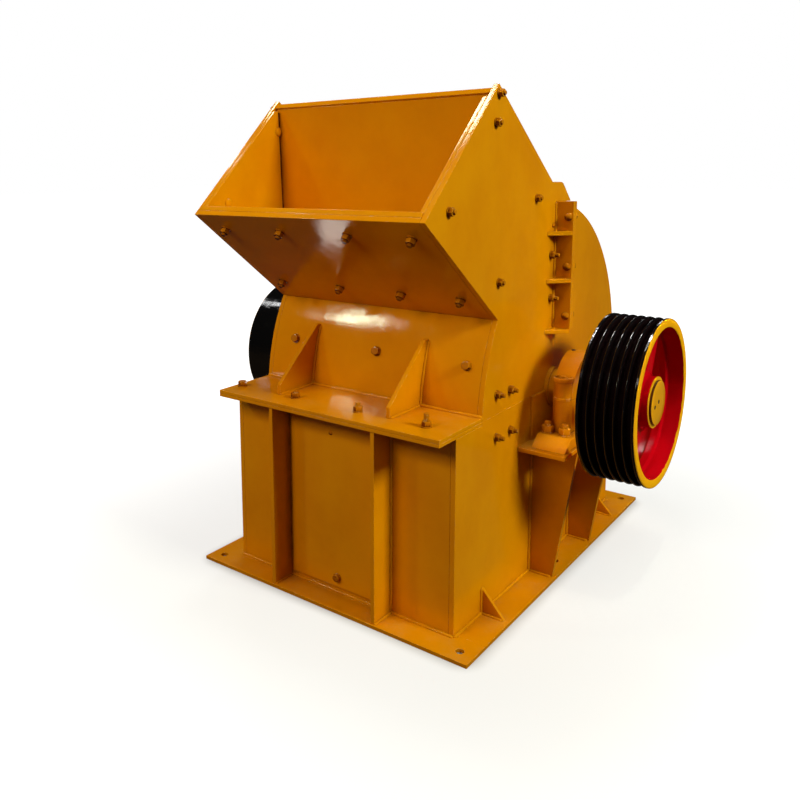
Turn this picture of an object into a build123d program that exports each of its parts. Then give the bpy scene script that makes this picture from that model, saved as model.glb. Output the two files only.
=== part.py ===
from build123d import *

import math
import os

# Hammer crusher: a welded plate casing with a slanted feed hopper, a rotor of hammers on a shaft,
# two bearing pedestals, a grooved drive pulley and a plain flywheel.
# Millimetres. +X runs along the rotor shaft towards the drive pulley, +Y to the rear, +Z up.
# The origin is the centre of the base frame's underside.

# Base frame
base_thick = 8.0
flange_overhang = 66.0
anchor_hole_r = 9.0
anchor_hole_inset = 33.0

# Rotor; its hammers set the size of the chamber round it
shaft_r = 32.0
shaft_end_recess = 8.0
disc_plate = 18.0
disc_count = 5
disc_edge = 24.0
disc_end_gap = 47.0
spacer_r = 80.0
hammer_pin_r = 16.0
hammer_pin_circle_r = 165.0
hammer_pin_count = 4
hammer_tip_r = 300.0
hammer_thick = 45.0
hammer_width = 70.0
hammer_eye_r = 34.0

# Grate under the rotor
grate_clearance = 25.0
grate_bar_depth = 30.0
grate_bar_width = 16.0
grate_bar_count = 13
grate_half_angle = 68.0
grate_rail = 12.0
grate_floor_gap = 77.0

# Lower housing
body_width = 600.0
side_plate = 12.0
wall_plate = 12.0
rib_gap = 10.0
rib_plate = 10.0
rib_toe_setback = 4.0
inspection_width = 250.0
inspection_plate_thick = 8.0
inspection_bottom = 16.0
inspection_top_gap = 22.0

# Horizontal split flanges at the height of the shaft
split_flange = 8.0
shelf_reach = 65.0
rear_flange_reach = 40.0

# Front of the casing, which stands back from the front of the lower housing
casing_setback = 108.0
casing_front_gap = 45.0
front_plate_bow = 12.0

# Gusset plates on the shelf
shelf_gusset_left_x = -160.0
shelf_gusset_right_x = 144.0
shelf_gusset_plate = 10.0
shelf_gusset_toe_reach = 118.0
shelf_gusset_toe_height = 23.0
shelf_gusset_height = 143.0
shelf_gusset_top_flat = 14.0

# Hopper: distances before or behind the foot of the casing's front, rises above the shaft
lip_reach = 233.0
lip_rise = 427.0
throat_setback = 62.0
throat_rise = 205.5
peak_setback = 47.0
peak_rise = 689.0
roof_drop = 11.7
back_plate_top_setback = 36.0
back_plate_top_rise = 672.0
back_plate_bottom_setback = 48.0
back_plate_bottom_rise = 403.0
hopper_plate = 12.0
floor_tuck = 24.0
floor_liner = 12.0
side_liner = 10.0
side_liner_gap = 5.0
side_liner_trim = 38.0

# Hood over the top of the rear cover
shoulder_lead = 29.0
shoulder_flat = 57.0
shoulder_slope_run = 52.0
shoulder_corner_r = 26.0
hood_gap = 3.0
hood_depth = 46.0

# Rear cover
cover_gap = 48.0
cover_centre_rise = 23.0
cover_plate = 12.0

# Upright split flanges between the front casing and the rear cover
bar_reach = 43.0
bar_plate = 10.0
bar_seal_gap = 95.0
bar_length = 300.0
bar_gusset_run = 44.0
bar_gusset_plate = 10.0
bar_gusset_rises = (-9.0, 111.0, 222.0)

# Corner gussets on the base frame
base_gusset_plate = 8.0
base_gusset_height = 60.0
base_gusset_toe_setback = 11.0
base_gusset_front_setback = 118.0
base_gusset_rear_setback = 97.0

# Bearing pedestals; drops are below the shaft, gaps are outwards from the casing's side
bracket_edge = 5.0
bracket_plate = 10.0
bracket_drop = 104.0
bracket_half_length = 184.0
web_plate = 10.0
web_toe_setback = 6.0
web_front_offset = 103.0
web_rear_offset = 130.0
pad_plate = 6.0
pad_half_length = 120.0
pad_clearance = 3.0
foot_thick = 26.0
foot_half_length = 171.0
foot_end_slope = 34.0
foot_width = 80.0
foot_gap = 25.0
housing_width = 46.0
housing_r = 94.0
bolt_boss_r = 18.0
bolt_boss_offset = 92.0
bolt_boss_rise = 46.0
bearing_clearance = 0.4

# Shaft seals on the casing's sides
casing_hole_clearance = 8.0
seal_flange_lap = 8.0
seal_flange_thick = 9.0
seal_collar_wall = 6.0
seal_housing_gap = 8.0
seal_clearance = 3.0

# Drive pulley
pulley_r = 190.0
pulley_width = 126.0
pulley_gap = 20.0
groove_count = 6
groove_pitch = 19.0
groove_depth = 14.0
groove_top_width = 16.0
groove_bottom_width = 8.0
pulley_rim = 20.0
hub_wall = 26.0
hub_recess = 14.0
hub_length = 100.0
arm_count = 4
arm_width = 42.0
arm_thick = 20.0
arm_edge_r = 6.0
arm_recess = 48.0
arm_first_angle = 65.0

# Flywheel
flywheel_width = 115.0
flywheel_gap = 8.0

# How far a cutting shape runs on past what it cuts
overcut = 1.0

# Places worked out from the sizes above
half_width = body_width / 2
inner_x = half_width - side_plate
grate_inner_r = hammer_tip_r + grate_clearance
grate_outer_r = grate_inner_r + grate_bar_depth
cover_r = grate_outer_r + cover_gap + cover_plate
rotor_setback = casing_setback + wall_plate + casing_front_gap + hammer_tip_r
body_depth = rotor_setback + cover_r
front_y = -body_depth / 2
rear_y = body_depth / 2
base_half_x = half_width + flange_overhang
base_half_y = body_depth / 2 + flange_overhang
rotor_y = front_y + rotor_setback
rotor_z = base_thick + grate_floor_gap + grate_outer_r
casing_front_y = front_y + casing_setback
cover_centre_z = rotor_z + cover_centre_rise
hood_bottom_z = cover_centre_z + cover_r + hood_gap
lip = (casing_front_y - lip_reach, rotor_z + lip_rise)
throat = (casing_front_y + throat_setback, rotor_z + throat_rise)
peak = (casing_front_y + peak_setback, rotor_z + peak_rise)
shoulder = (rotor_y - shoulder_lead, hood_bottom_z + hood_depth)
hood_flat_end_y = shoulder[0] + shoulder_flat
hood_tip_y = hood_flat_end_y + shoulder_slope_run
back_plate_top = (casing_front_y + back_plate_top_setback, rotor_z + back_plate_top_rise)
back_plate_bottom = (casing_front_y + back_plate_bottom_setback, rotor_z + back_plate_bottom_rise)
rib_x = inspection_width / 2 + rib_gap + rib_plate / 2
bracket_z = rotor_z - bracket_drop
bracket_x1 = half_width + foot_gap + foot_width + bracket_edge
foot_top_z = bracket_z + foot_thick
housing_mid_x = half_width + foot_gap + foot_width / 2
housing_x0 = housing_mid_x - housing_width / 2
housing_x1 = housing_mid_x + housing_width / 2
casing_hole_r = shaft_r + casing_hole_clearance
seal_flange_r = casing_hole_r + seal_flange_lap
seal_collar_r = shaft_r + seal_clearance + seal_collar_wall
seal_collar_x1 = housing_x0 - seal_housing_gap
disc_r = hammer_pin_circle_r + hammer_pin_r + disc_edge
hub_r = shaft_r + hub_wall
pulley_face_x = bracket_x1 + pulley_gap + pulley_width
flywheel_face_x = bracket_x1 + flywheel_gap + flywheel_width
pulley_centre_x = pulley_face_x - pulley_width / 2
shaft_x1 = pulley_face_x - hub_recess - shaft_end_recess
shaft_x0 = -flywheel_face_x + hub_recess + shaft_end_recess
far = 4 * body_depth


def block(x0, x1, y0, y1, z0, z1):
    """A rectangular plate or bar between six planes."""
    return Pos((x0 + x1) / 2, (y0 + y1) / 2, (z0 + z1) / 2) * Box(x1 - x0, y1 - y0, z1 - z0)


def slab(outline, x0, x1):
    """A flat outline in the (Y, Z) plane, given thickness from x0 to x1."""
    return extrude(Plane.YZ.offset(x0) * outline, amount=x1 - x0)


def outline_of(*points):
    """A closed straight-sided outline through (Y, Z) points."""
    return make_face(Polyline(*points, close=True))


def round_face(centre, radius):
    """A full round outline in the (Y, Z) plane."""
    return Pos(centre[0], centre[1]) * Circle(radius)


def disc(x0, x1, radius):
    """A round bar on the rotor's axis, from x0 to x1."""
    return Pos((x0 + x1) / 2, rotor_y, rotor_z) * Rot(0, 90, 0) * Cylinder(radius, x1 - x0)


def mirrored(solid):
    """The same piece on the other side of the machine."""
    return mirror(solid, about=Plane.YZ)


def pair(solid):
    """A piece and its mirror image, as separate solids of one node."""
    return Compound(children=[solid, mirrored(solid)])


def group(solids):
    """Several separate solids of one node."""
    return Compound(children=list(solids))


def unit(start, end):
    """The direction from one (Y, Z) point to another."""
    length = math.dist(start, end)
    return ((end[0] - start[0]) / length, (end[1] - start[1]) / length)


def shifted(point, direction, amount):
    """A (Y, Z) point moved along a direction."""
    return (point[0] + direction[0] * amount, point[1] + direction[1] * amount)


def half_plane(start, direction, inward):
    """Everything on one side of a line, as a large outline."""
    low = shifted(start, direction, -far)
    high = shifted(start, direction, far)
    return outline_of(low, high, shifted(high, inward, far), shifted(low, inward, far))


def bowed_circle(start, end, bow):
    """Centre and radius of the circle through two points that bulges by bow to the left of start-end."""
    along = unit(start, end)
    left = (-along[1], along[0])
    half_chord = math.dist(start, end) / 2
    radius = (half_chord ** 2 + bow ** 2) / (2 * bow)
    middle = shifted(start, along, half_chord)
    return shifted(middle, left, bow - radius), radius


# The hopper's directions in the (Y, Z) plane, and the bowed front of the casing
floor_dir = unit(lip, throat)
floor_in = (-floor_dir[1], floor_dir[0])
mouth_dir = unit(lip, peak)
mouth_in = (mouth_dir[1], -mouth_dir[0])
roof_front = shifted(peak, mouth_dir, -roof_drop)
roof_dir = unit(roof_front, shoulder)
roof_in = (roof_dir[1], -roof_dir[0])
back_dir = unit(back_plate_bottom, back_plate_top)
back_in = (back_dir[1], -back_dir[0])
front_foot = (casing_front_y, rotor_z)
front_centre, front_r = bowed_circle(front_foot, throat, front_plate_bow)
floor_end = shifted(throat, floor_dir, floor_tuck)


def base_frame():
    """Four flat bars laid out as the foot of the machine, with anchor holes."""
    inner_y = body_depth / 2 - wall_plate
    front = block(-base_half_x, base_half_x, -base_half_y, -inner_y, 0, base_thick)
    rear = block(-base_half_x, base_half_x, inner_y, base_half_y, 0, base_thick)
    right = block(inner_x, base_half_x, -inner_y, inner_y, 0, base_thick)
    hole_x = base_half_x - anchor_hole_inset
    hole_y = base_half_y - anchor_hole_inset
    drill = Cylinder(anchor_hole_r, 4 * base_thick)
    for x in (-hole_x, hole_x):
        front -= Pos(x, -hole_y, 0) * drill
        rear -= Pos(x, hole_y, 0) * drill
    right -= Pos(hole_x, 0, 0) * drill
    return {
        "base_front_flange": front,
        "base_rear_flange": rear,
        "base_side_flanges": pair(right),
    }


def shaft_hole():
    """The round way through the casing's side for the shaft."""
    return disc(inner_x - overcut, half_width + overcut, casing_hole_r)


def lower_side():
    """The side plate under the split, stepped down at the front to carry the shelf plate."""
    step_z = rotor_z - split_flange
    outline = outline_of(
        (front_y, base_thick), (rear_y, base_thick), (rear_y, rotor_z),
        (casing_front_y, rotor_z), (casing_front_y, step_z), (front_y, step_z),
    )
    return slab(outline, inner_x, half_width) - shaft_hole()


def lower_housing():
    """The box under the split: two side plates, a front and a rear plate."""
    front_top_z = rotor_z - split_flange
    front = block(-inner_x, inner_x, front_y, front_y + wall_plate, base_thick, front_top_z)
    rear = block(-inner_x, inner_x, rear_y - wall_plate, rear_y, base_thick, rotor_z)
    rib = block(rib_x - rib_plate / 2, rib_x + rib_plate / 2, front_y - flange_overhang + rib_toe_setback,
                front_y, base_thick, front_top_z)
    cover = block(-inspection_width / 2, inspection_width / 2, front_y - inspection_plate_thick,
                  front_y, base_thick + inspection_bottom, front_top_z - inspection_top_gap)
    return {
        "lower_sides": pair(lower_side()),
        "lower_front_plate": front,
        "lower_rear_plate": rear,
        "front_ribs": pair(rib),
        "inspection_plate": cover,
    }


def shelf_plate(z0):
    """One of the two stacked plates of the front shelf, tongued between the side plates."""
    z1 = z0 + split_flange
    shelf = block(-half_width, half_width, front_y - shelf_reach, casing_front_y, z0, z1)
    tongue = block(-inner_x, inner_x, casing_front_y, casing_front_y + wall_plate, z0, z1)
    return shelf + tongue


def shelf_gusset(x):
    """A plate between the shelf and the front of the casing, with a blunt toe and a short flat top."""
    z0 = rotor_z + split_flange
    toe_y = casing_front_y - shelf_gusset_toe_reach
    top_z = z0 + shelf_gusset_height
    back_y = front_centre[0] - math.sqrt(front_r ** 2 - (top_z - front_centre[1]) ** 2)
    outline = outline_of(
        (toe_y, z0), (casing_front_y + wall_plate, z0), (back_y + wall_plate, top_z),
        (back_y - shelf_gusset_top_flat, top_z), (toe_y, z0 + shelf_gusset_toe_height),
    ) - round_face(front_centre, front_r)
    return slab(outline, x - shelf_gusset_plate / 2, x + shelf_gusset_plate / 2)


def split_flanges():
    """The bolted flanges round the split, with the shelf at the front."""
    y1 = rear_y + rear_flange_reach
    lower = block(-half_width, half_width, rear_y, y1, rotor_z - split_flange, rotor_z)
    upper = block(-half_width, half_width, rear_y, y1, rotor_z, rotor_z + split_flange)
    return {
        "shelf_plate_lower": shelf_plate(rotor_z - split_flange),
        "shelf_plate_upper": shelf_plate(rotor_z),
        "rear_flange_lower": lower,
        "rear_flange_upper": upper,
        "shelf_gussets": group([shelf_gusset(shelf_gusset_left_x), shelf_gusset(shelf_gusset_right_x)]),
    }


def hood_outline():
    """The rounded shoulder behind the hopper, over the top of the rear cover."""
    flat_z = shoulder[1]
    start_y = shoulder[0] - shoulder_flat
    low_z = 2 * hood_bottom_z - flat_z
    shape = outline_of(
        (start_y, flat_z), (hood_flat_end_y, flat_z), (hood_tip_y, hood_bottom_z),
        (rotor_y, hood_bottom_z), (rotor_y, low_z), (start_y, low_z),
    )
    corner = shape.vertices().sort_by_distance((hood_flat_end_y, flat_z))[0]
    return fillet(corner, shoulder_corner_r)


def front_side_outline():
    """The hopper side and the front half of the casing side, cut from one plate."""
    body = outline_of(front_foot, throat, lip, peak, shoulder, (rotor_y, shoulder[1] - split_flange),
                      (rotor_y, rotor_z))
    bulge_y = casing_front_y - 2 * front_plate_bow
    belly = round_face(front_centre, front_r) & outline_of(
        front_foot, (rotor_y, rotor_z), (rotor_y, throat[1]), throat, (bulge_y, throat[1]),
        (bulge_y, rotor_z))
    return body + belly + hood_outline()


def hopper_floor():
    """The sloping floor plate of the hopper and the wear plate that lies on it."""
    low = shifted(lip, floor_in, hopper_plate)
    high = shifted(floor_end, floor_in, hopper_plate)
    plate = outline_of(lip, floor_end, high, low)
    wear = outline_of(low, high, shifted(high, floor_in, floor_liner), shifted(low, floor_in, floor_liner))
    return slab(plate, -inner_x, inner_x), slab(wear, -inner_x, inner_x)


def casing_front():
    """The bowed front plate of the casing, from the shelf up to the hopper floor."""
    foot_z = rotor_z + split_flange
    window = outline_of((casing_front_y - wall_plate, foot_z), (rotor_y, foot_z),
                        (rotor_y, throat[1] + far), (casing_front_y - wall_plate, throat[1] + far))
    ring = round_face(front_centre, front_r) - round_face(front_centre, front_r - wall_plate)
    below_floor = half_plane(lip, floor_dir, (-floor_in[0], -floor_in[1]))
    return slab(ring & window & below_floor, -inner_x, inner_x)


def hopper_back_plate():
    """The back wall of the hopper mouth, which leans a little forward and hangs from the sloping roof."""
    high = shifted(back_plate_top, back_dir, 2 * hopper_plate)
    leaning = outline_of(back_plate_bottom, shifted(back_plate_bottom, back_in, hopper_plate),
                         shifted(high, back_in, hopper_plate), high)
    under_roof = half_plane(shifted(roof_front, roof_in, hopper_plate), roof_dir, roof_in)
    return slab(leaning & under_roof, -inner_x, inner_x)


def hopper_roof():
    """The sloping plate from just under the peak to the shoulder, and on over the rounded nose."""
    upright_thick = hopper_plate / roof_dir[0]
    slope = outline_of(roof_front, shoulder, shifted(shoulder, (0, -1), upright_thick),
                       shifted(roof_front, roof_in, hopper_plate))
    plate = slab(slope & half_plane(peak, mouth_dir, mouth_in), -inner_x, inner_x)
    outer = hood_outline()
    inner = offset(outer, amount=-hopper_plate, kind=Kind.INTERSECTION)
    step_y = hood_flat_end_y - hopper_plate
    keep = outline_of((shoulder[0], shoulder[1] + overcut), (hood_tip_y + overcut, shoulder[1] + overcut),
                      (hood_tip_y + overcut, hood_bottom_z), (step_y, hood_bottom_z),
                      (step_y, shoulder[1] - hopper_plate), (shoulder[0], shoulder[1] - hopper_plate))
    hood = slab((outer - inner) & keep, -inner_x, inner_x)
    return plate, hood


def side_liner_plate():
    """The wear plate inside one hopper side, trimmed short of the peak and of the back plate."""
    trimmed = shifted(peak, mouth_dir, -side_liner_trim)
    above_wear_plate = half_plane(shifted(lip, floor_in, hopper_plate + floor_liner), floor_dir, floor_in)
    before_back_plate = half_plane(shifted(back_plate_bottom, back_in, -side_liner_gap), back_dir,
                                   (-back_in[0], -back_in[1]))
    outline = outline_of(lip, trimmed, (rotor_y, trimmed[1]), (rotor_y, throat[1]),
                         throat) & above_wear_plate & before_back_plate
    return slab(outline, inner_x - side_liner, inner_x)


def hopper():
    """The feed hopper with its side plates, floor, roof, back plate and wear plates."""
    side = slab(front_side_outline(), inner_x, half_width) - shaft_hole()
    floor, wear = hopper_floor()
    roof, hood = hopper_roof()
    return {
        "front_sides": pair(side),
        "casing_front_plate": casing_front(),
        "hopper_floor_plate": floor,
        "hopper_floor_liner": wear,
        "hopper_side_liners": pair(side_liner_plate()),
        "hopper_back_plate": hopper_back_plate(),
        "hopper_roof_plate": roof,
        "casing_hood_plate": hood,
    }


def cover_outline(radius):
    """The rear cover's side: a quarter round on a short upright, from the upright split to the rear."""
    quarter = round_face((rotor_y, cover_centre_z), radius) & outline_of(
        (rotor_y, cover_centre_z), (rotor_y + far, cover_centre_z),
        (rotor_y + far, cover_centre_z + far), (rotor_y, cover_centre_z + far))
    upright = outline_of((rotor_y, rotor_z), (rotor_y + radius, rotor_z),
                         (rotor_y + radius, cover_centre_z), (rotor_y, cover_centre_z))
    return quarter + upright


def rear_cover():
    """The round rear cover: two side plates and the rolled plate between them."""
    side = slab(cover_outline(cover_r), inner_x, half_width) - shaft_hole()
    shell = slab(cover_outline(cover_r) - cover_outline(cover_r - cover_plate), -inner_x, inner_x)
    return {"cover_sides": pair(side), "cover_shell": shell}


def upright_flanges():
    """The bolted upright flanges on each side, stiffened by flat gussets in front."""
    z0 = rotor_z + seal_flange_r + bar_seal_gap
    z1 = z0 + bar_length
    x1 = half_width + bar_reach
    front_face_y = rotor_y - bar_plate
    front = block(half_width, x1, front_face_y, rotor_y, z0, z1)
    rear = block(half_width, x1, rotor_y, rotor_y + bar_plate, z0, z1)
    corners = ((half_width, front_face_y - bar_gusset_run), (x1, front_face_y), (half_width, front_face_y))
    shape = make_face(Polyline(*corners, close=True))
    gussets = []
    for rise in bar_gusset_rises:
        gusset = extrude(Pos(0, 0, z0 + rise) * shape, amount=bar_gusset_plate)
        gussets += [gusset, mirrored(gusset)]
    return {
        "upright_flange_front": pair(front),
        "upright_flange_rear": pair(rear),
        "upright_flange_gussets": group(gussets),
    }


def cross_plate(corners, y0, thick):
    """A flat outline in the (X, Z) plane, given thickness from y0 to the rear."""
    return extrude(Plane.XZ.offset(-y0 - thick) * make_face(Polyline(*corners, close=True)), amount=thick)


def base_gussets():
    """Small triangular plates between the side plates and the base frame."""
    corners = ((half_width, base_thick), (base_half_x - base_gusset_toe_setback, base_thick),
               (half_width, base_thick + base_gusset_height))
    rear_place = rear_y - base_gusset_rear_setback - base_gusset_plate
    solids = []
    for y0 in (front_y + base_gusset_front_setback, rear_place):
        plate = cross_plate(corners, y0, base_gusset_plate)
        solids += [plate, mirrored(plate)]
    return {"base_gussets": group(solids)}


def bearing_bracket():
    """The shelf on the casing's side that carries a bearing."""
    return block(half_width, bracket_x1, rotor_y - bracket_half_length,
                 rotor_y + bracket_half_length, bracket_z - bracket_plate, bracket_z)


def bracket_web(y):
    """An upright web under the bracket, narrowing down to the base frame."""
    z1 = bracket_z - bracket_plate
    corners = ((half_width, base_thick), (base_half_x - web_toe_setback, base_thick),
               (bracket_x1, z1), (half_width, z1))
    return cross_plate(corners, y - web_plate / 2, web_plate)


def side_pad():
    """The thick pad welded to the side plate between the bracket and the split, cut round the seal."""
    pad = block(half_width, half_width + pad_plate, rotor_y - pad_half_length,
                rotor_y + pad_half_length, bracket_z, rotor_z)
    return pad - disc(half_width - overcut, half_width + pad_plate + overcut, seal_flange_r + pad_clearance)


def bearing_foot():
    """The packing block between the bracket and the bearing housing, with sloping ends."""
    x0 = half_width + foot_gap
    top_half = foot_half_length - foot_end_slope
    corners = ((rotor_y - foot_half_length, bracket_z), (rotor_y + foot_half_length, bracket_z),
               (rotor_y + top_half, foot_top_z), (rotor_y - top_half, foot_top_z))
    return extrude(Plane.YZ.offset(x0) * make_face(Polyline(*corners, close=True)), amount=foot_width)


def housing_shape():
    """The whole bearing housing, before it is split at the shaft's height."""
    body = disc(housing_x0, housing_x1, housing_r)
    body += block(housing_x0, housing_x1, rotor_y - housing_r, rotor_y + housing_r, foot_top_z, rotor_z)
    boss_drop = rotor_z - foot_top_z
    boss = Pos(0, 0, -boss_drop) * Cylinder(
        bolt_boss_r, bolt_boss_rise + boss_drop, align=(Align.CENTER, Align.CENTER, Align.MIN))
    for side in (-1, 1):
        body += Pos(housing_mid_x, rotor_y + side * bolt_boss_offset, rotor_z) * boss
    body &= block(housing_x0 - overcut, housing_x1 + overcut, -far, far, foot_top_z, far)
    return body - disc(housing_x0 - overcut, housing_x1 + overcut, shaft_r + bearing_clearance)


def shaft_seal():
    """The round flange and collar round the shaft where it leaves the casing."""
    seal = disc(half_width, half_width + seal_flange_thick, seal_flange_r)
    seal += disc(half_width, seal_collar_x1, seal_collar_r)
    return seal - disc(half_width - overcut, seal_collar_x1 + overcut, shaft_r + seal_clearance)


def bearings():
    """Brackets, webs, pads, packing blocks, split housings and shaft seals on both sides."""
    webs = [bracket_web(rotor_y - web_front_offset), bracket_web(rotor_y + web_rear_offset)]
    housing = housing_shape()
    return {
        "bearing_brackets": pair(bearing_bracket()),
        "bracket_webs": group(webs + [mirrored(web) for web in webs]),
        "side_pads": pair(side_pad()),
        "bearing_feet": pair(bearing_foot()),
        "bearing_housings": pair(housing & block(0, far, -far, far, -far, rotor_z)),
        "bearing_caps": pair(housing & block(0, far, -far, far, rotor_z, far)),
        "shaft_seals": pair(shaft_seal()),
    }


def on_rotor(solid, angle):
    """A piece turned about the rotor's axis by an angle in degrees."""
    return Pos(0, rotor_y, rotor_z) * Rot(angle, 0, 0) * Pos(0, -rotor_y, -rotor_z) * solid


def disc_places():
    """The middles of the rotor discs along the shaft."""
    last = inner_x - disc_end_gap - disc_plate / 2
    return [last * (2 * i / (disc_count - 1) - 1) for i in range(disc_count)]


def hammer_angles():
    """The angles of the hammer pins about the shaft."""
    return [360 / hammer_pin_count * i for i in range(hammer_pin_count)]


def hammer_pin_bar(radius, x0, x1):
    """A round bar parallel to the shaft, on the pin circle above it."""
    return Pos(0, 0, hammer_pin_circle_r) * disc(x0, x1, radius)


def rotor_disc(x):
    """One disc of the rotor, drilled for the shaft and the hammer pins."""
    x0 = x - disc_plate / 2
    x1 = x + disc_plate / 2
    solid = disc(x0, x1, disc_r) - disc(x0 - overcut, x1 + overcut, shaft_r)
    for angle in hammer_angles():
        solid -= on_rotor(hammer_pin_bar(hammer_pin_r, x0 - overcut, x1 + overcut), angle)
    return solid


def rotor_spacer(x0, x1):
    """A sleeve on the shaft that keeps two rotor discs apart."""
    return disc(x0, x1, spacer_r) - disc(x0 - overcut, x1 + overcut, shaft_r)


def hammer(x):
    """One hammer hung on its pin between two discs, standing out from the shaft."""
    x0 = x - hammer_thick / 2
    x1 = x + hammer_thick / 2
    bar = block(x0, x1, rotor_y - hammer_width / 2, rotor_y + hammer_width / 2,
                rotor_z + hammer_pin_circle_r, rotor_z + hammer_tip_r) & disc(x0, x1, hammer_tip_r)
    eye = hammer_pin_bar(hammer_eye_r, x0, x1)
    return bar + eye - hammer_pin_bar(hammer_pin_r, x0 - overcut, x1 + overcut)


def rotor():
    """The shaft with its discs, sleeves, pins and hammers."""
    places = disc_places()
    half = disc_plate / 2
    gaps = list(zip(places, places[1:]))
    pin = hammer_pin_bar(hammer_pin_r, places[0] - half, places[-1] + half)
    return {
        "rotor_shaft": disc(shaft_x0, shaft_x1, shaft_r),
        "rotor_discs": group(rotor_disc(x) for x in places),
        "rotor_spacers": group(rotor_spacer(a + half, b - half) for a, b in gaps),
        "hammer_pins": group(on_rotor(pin, angle) for angle in hammer_angles()),
        "hammers": group(on_rotor(hammer((a + b) / 2), angle) for angle in hammer_angles() for a, b in gaps),
    }


def wheel_rim(x0, x1):
    """The plain round rim of a wheel on the shaft."""
    return disc(x0, x1, pulley_r) - disc(x0 - overcut, x1 + overcut, pulley_r - pulley_rim)


def wheel_centre(arm_x, hub_x0, hub_x1):
    """The hub of a wheel with its flat arms of rounded section, which meet the inside of the rim."""
    inner_r = pulley_r - pulley_rim
    hub = disc(hub_x0, hub_x1, hub_r)
    section = RectangleRounded(arm_thick, arm_width, arm_edge_r)
    for i in range(arm_count):
        arm = extrude(Pos(arm_x, rotor_y, rotor_z + hub_r / 2) * section, amount=inner_r)
        hub += on_rotor(arm, arm_first_angle + 360 / arm_count * i)
    hub &= disc(hub_x0 - arm_recess, hub_x1 + arm_recess, inner_r)
    return hub - disc(hub_x0 - overcut, hub_x1 + overcut, shaft_r)


def drive_pulley():
    """The drive pulley: a rim cut with V grooves, arms and a hub."""
    rim = wheel_rim(pulley_face_x - pulley_width, pulley_face_x)
    first = pulley_centre_x - groove_pitch * (groove_count - 1) / 2
    floor_r = pulley_r - groove_depth
    flank = (groove_top_width - groove_bottom_width) / 2 / groove_depth
    top_half = groove_top_width / 2 + flank * overcut
    groove = make_face(Polyline(
        (-top_half, pulley_r + overcut), (top_half, pulley_r + overcut),
        (groove_bottom_width / 2, floor_r), (-groove_bottom_width / 2, floor_r), close=True))
    ring = revolve(Plane.XZ * groove, axis=Axis.X)
    for i in range(groove_count):
        rim -= Pos(first + groove_pitch * i, rotor_y, rotor_z) * ring
    hub_x1 = pulley_face_x - hub_recess
    centre = wheel_centre(pulley_face_x - arm_recess, hub_x1 - hub_length, hub_x1)
    return {"drive_pulley_rim": rim, "drive_pulley_arms": centre}


def flywheel():
    """The flywheel at the other end: the same arms and hub in a plain rim."""
    rim = wheel_rim(-flywheel_face_x, -flywheel_face_x + flywheel_width)
    hub_x0 = -flywheel_face_x + hub_recess
    centre = wheel_centre(-flywheel_face_x + arm_recess, hub_x0, hub_x0 + hub_length)
    return {"flywheel_rim": rim, "flywheel_arms": centre}


def grate_rail_ring():
    """One curved rail at the end of the grate bars."""
    reach_y = far * math.sin(math.radians(grate_half_angle))
    reach_z = far * math.cos(math.radians(grate_half_angle))
    sector = outline_of((rotor_y, rotor_z), (rotor_y - reach_y, rotor_z - reach_z),
                        (rotor_y, rotor_z - far), (rotor_y + reach_y, rotor_z - reach_z))
    centre = (rotor_y, rotor_z)
    ring = (round_face(centre, grate_outer_r) - round_face(centre, grate_inner_r)) & sector
    return slab(ring, inner_x - grate_rail, inner_x)


def grate():
    """The curved grate under the rotor: straight bars across, held by a rail at each side."""
    bar_x = inner_x - grate_rail
    bar = block(-bar_x, bar_x, rotor_y - grate_bar_width / 2, rotor_y + grate_bar_width / 2,
                rotor_z - grate_outer_r, rotor_z - grate_inner_r)
    reach = grate_half_angle - math.degrees(grate_bar_width / grate_inner_r)
    angles = [-reach + 2 * reach * i / (grate_bar_count - 1) for i in range(grate_bar_count)]
    return {"grate_bars": group(on_rotor(bar, angle) for angle in angles),
            "grate_rails": pair(grate_rail_ring())}


def all_nodes():
    """Every node of the machine, by name."""
    nodes = {}
    for section in (base_frame, lower_housing, split_flanges, hopper, rear_cover, upright_flanges,
                    base_gussets, bearings, rotor, drive_pulley, flywheel, grate):
        nodes.update(section())
    return nodes


os.makedirs("parts", exist_ok=True)
for name, solid in all_nodes().items():
    export_step(solid, f"parts/{name}.step")
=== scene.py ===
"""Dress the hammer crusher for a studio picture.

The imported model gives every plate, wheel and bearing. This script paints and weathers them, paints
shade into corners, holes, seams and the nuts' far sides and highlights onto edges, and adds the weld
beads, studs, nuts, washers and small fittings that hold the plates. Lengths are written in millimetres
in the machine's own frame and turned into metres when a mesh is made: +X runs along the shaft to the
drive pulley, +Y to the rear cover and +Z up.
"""
import logging
import math
from dataclasses import dataclass
from enum import Enum

import bpy
import numpy as np
from mathutils import Matrix, Vector


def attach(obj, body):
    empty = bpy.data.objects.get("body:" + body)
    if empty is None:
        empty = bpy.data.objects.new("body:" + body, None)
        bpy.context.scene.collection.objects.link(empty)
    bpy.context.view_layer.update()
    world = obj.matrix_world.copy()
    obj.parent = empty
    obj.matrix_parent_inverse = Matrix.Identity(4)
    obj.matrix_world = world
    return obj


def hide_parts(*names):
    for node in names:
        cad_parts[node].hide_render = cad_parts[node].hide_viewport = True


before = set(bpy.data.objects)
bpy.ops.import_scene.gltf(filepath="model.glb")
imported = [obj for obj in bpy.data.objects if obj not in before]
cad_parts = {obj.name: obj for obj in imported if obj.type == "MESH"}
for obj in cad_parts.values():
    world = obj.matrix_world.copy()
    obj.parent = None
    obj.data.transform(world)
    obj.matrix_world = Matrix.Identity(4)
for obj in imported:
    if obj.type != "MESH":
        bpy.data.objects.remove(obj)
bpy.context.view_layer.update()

MM = 0.001
SHAFT_Y = 25.0
SHAFT_Z = 440.0
SIDES = ((1, "right"), (-1, "left"))
Point = tuple[float, float, float]
Pair = tuple[float, float]
Triple = Point | np.ndarray
Outline = list[Pair] | tuple[Pair, ...] | np.ndarray
Value = float | Point | bpy.types.NodeSocket
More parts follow.
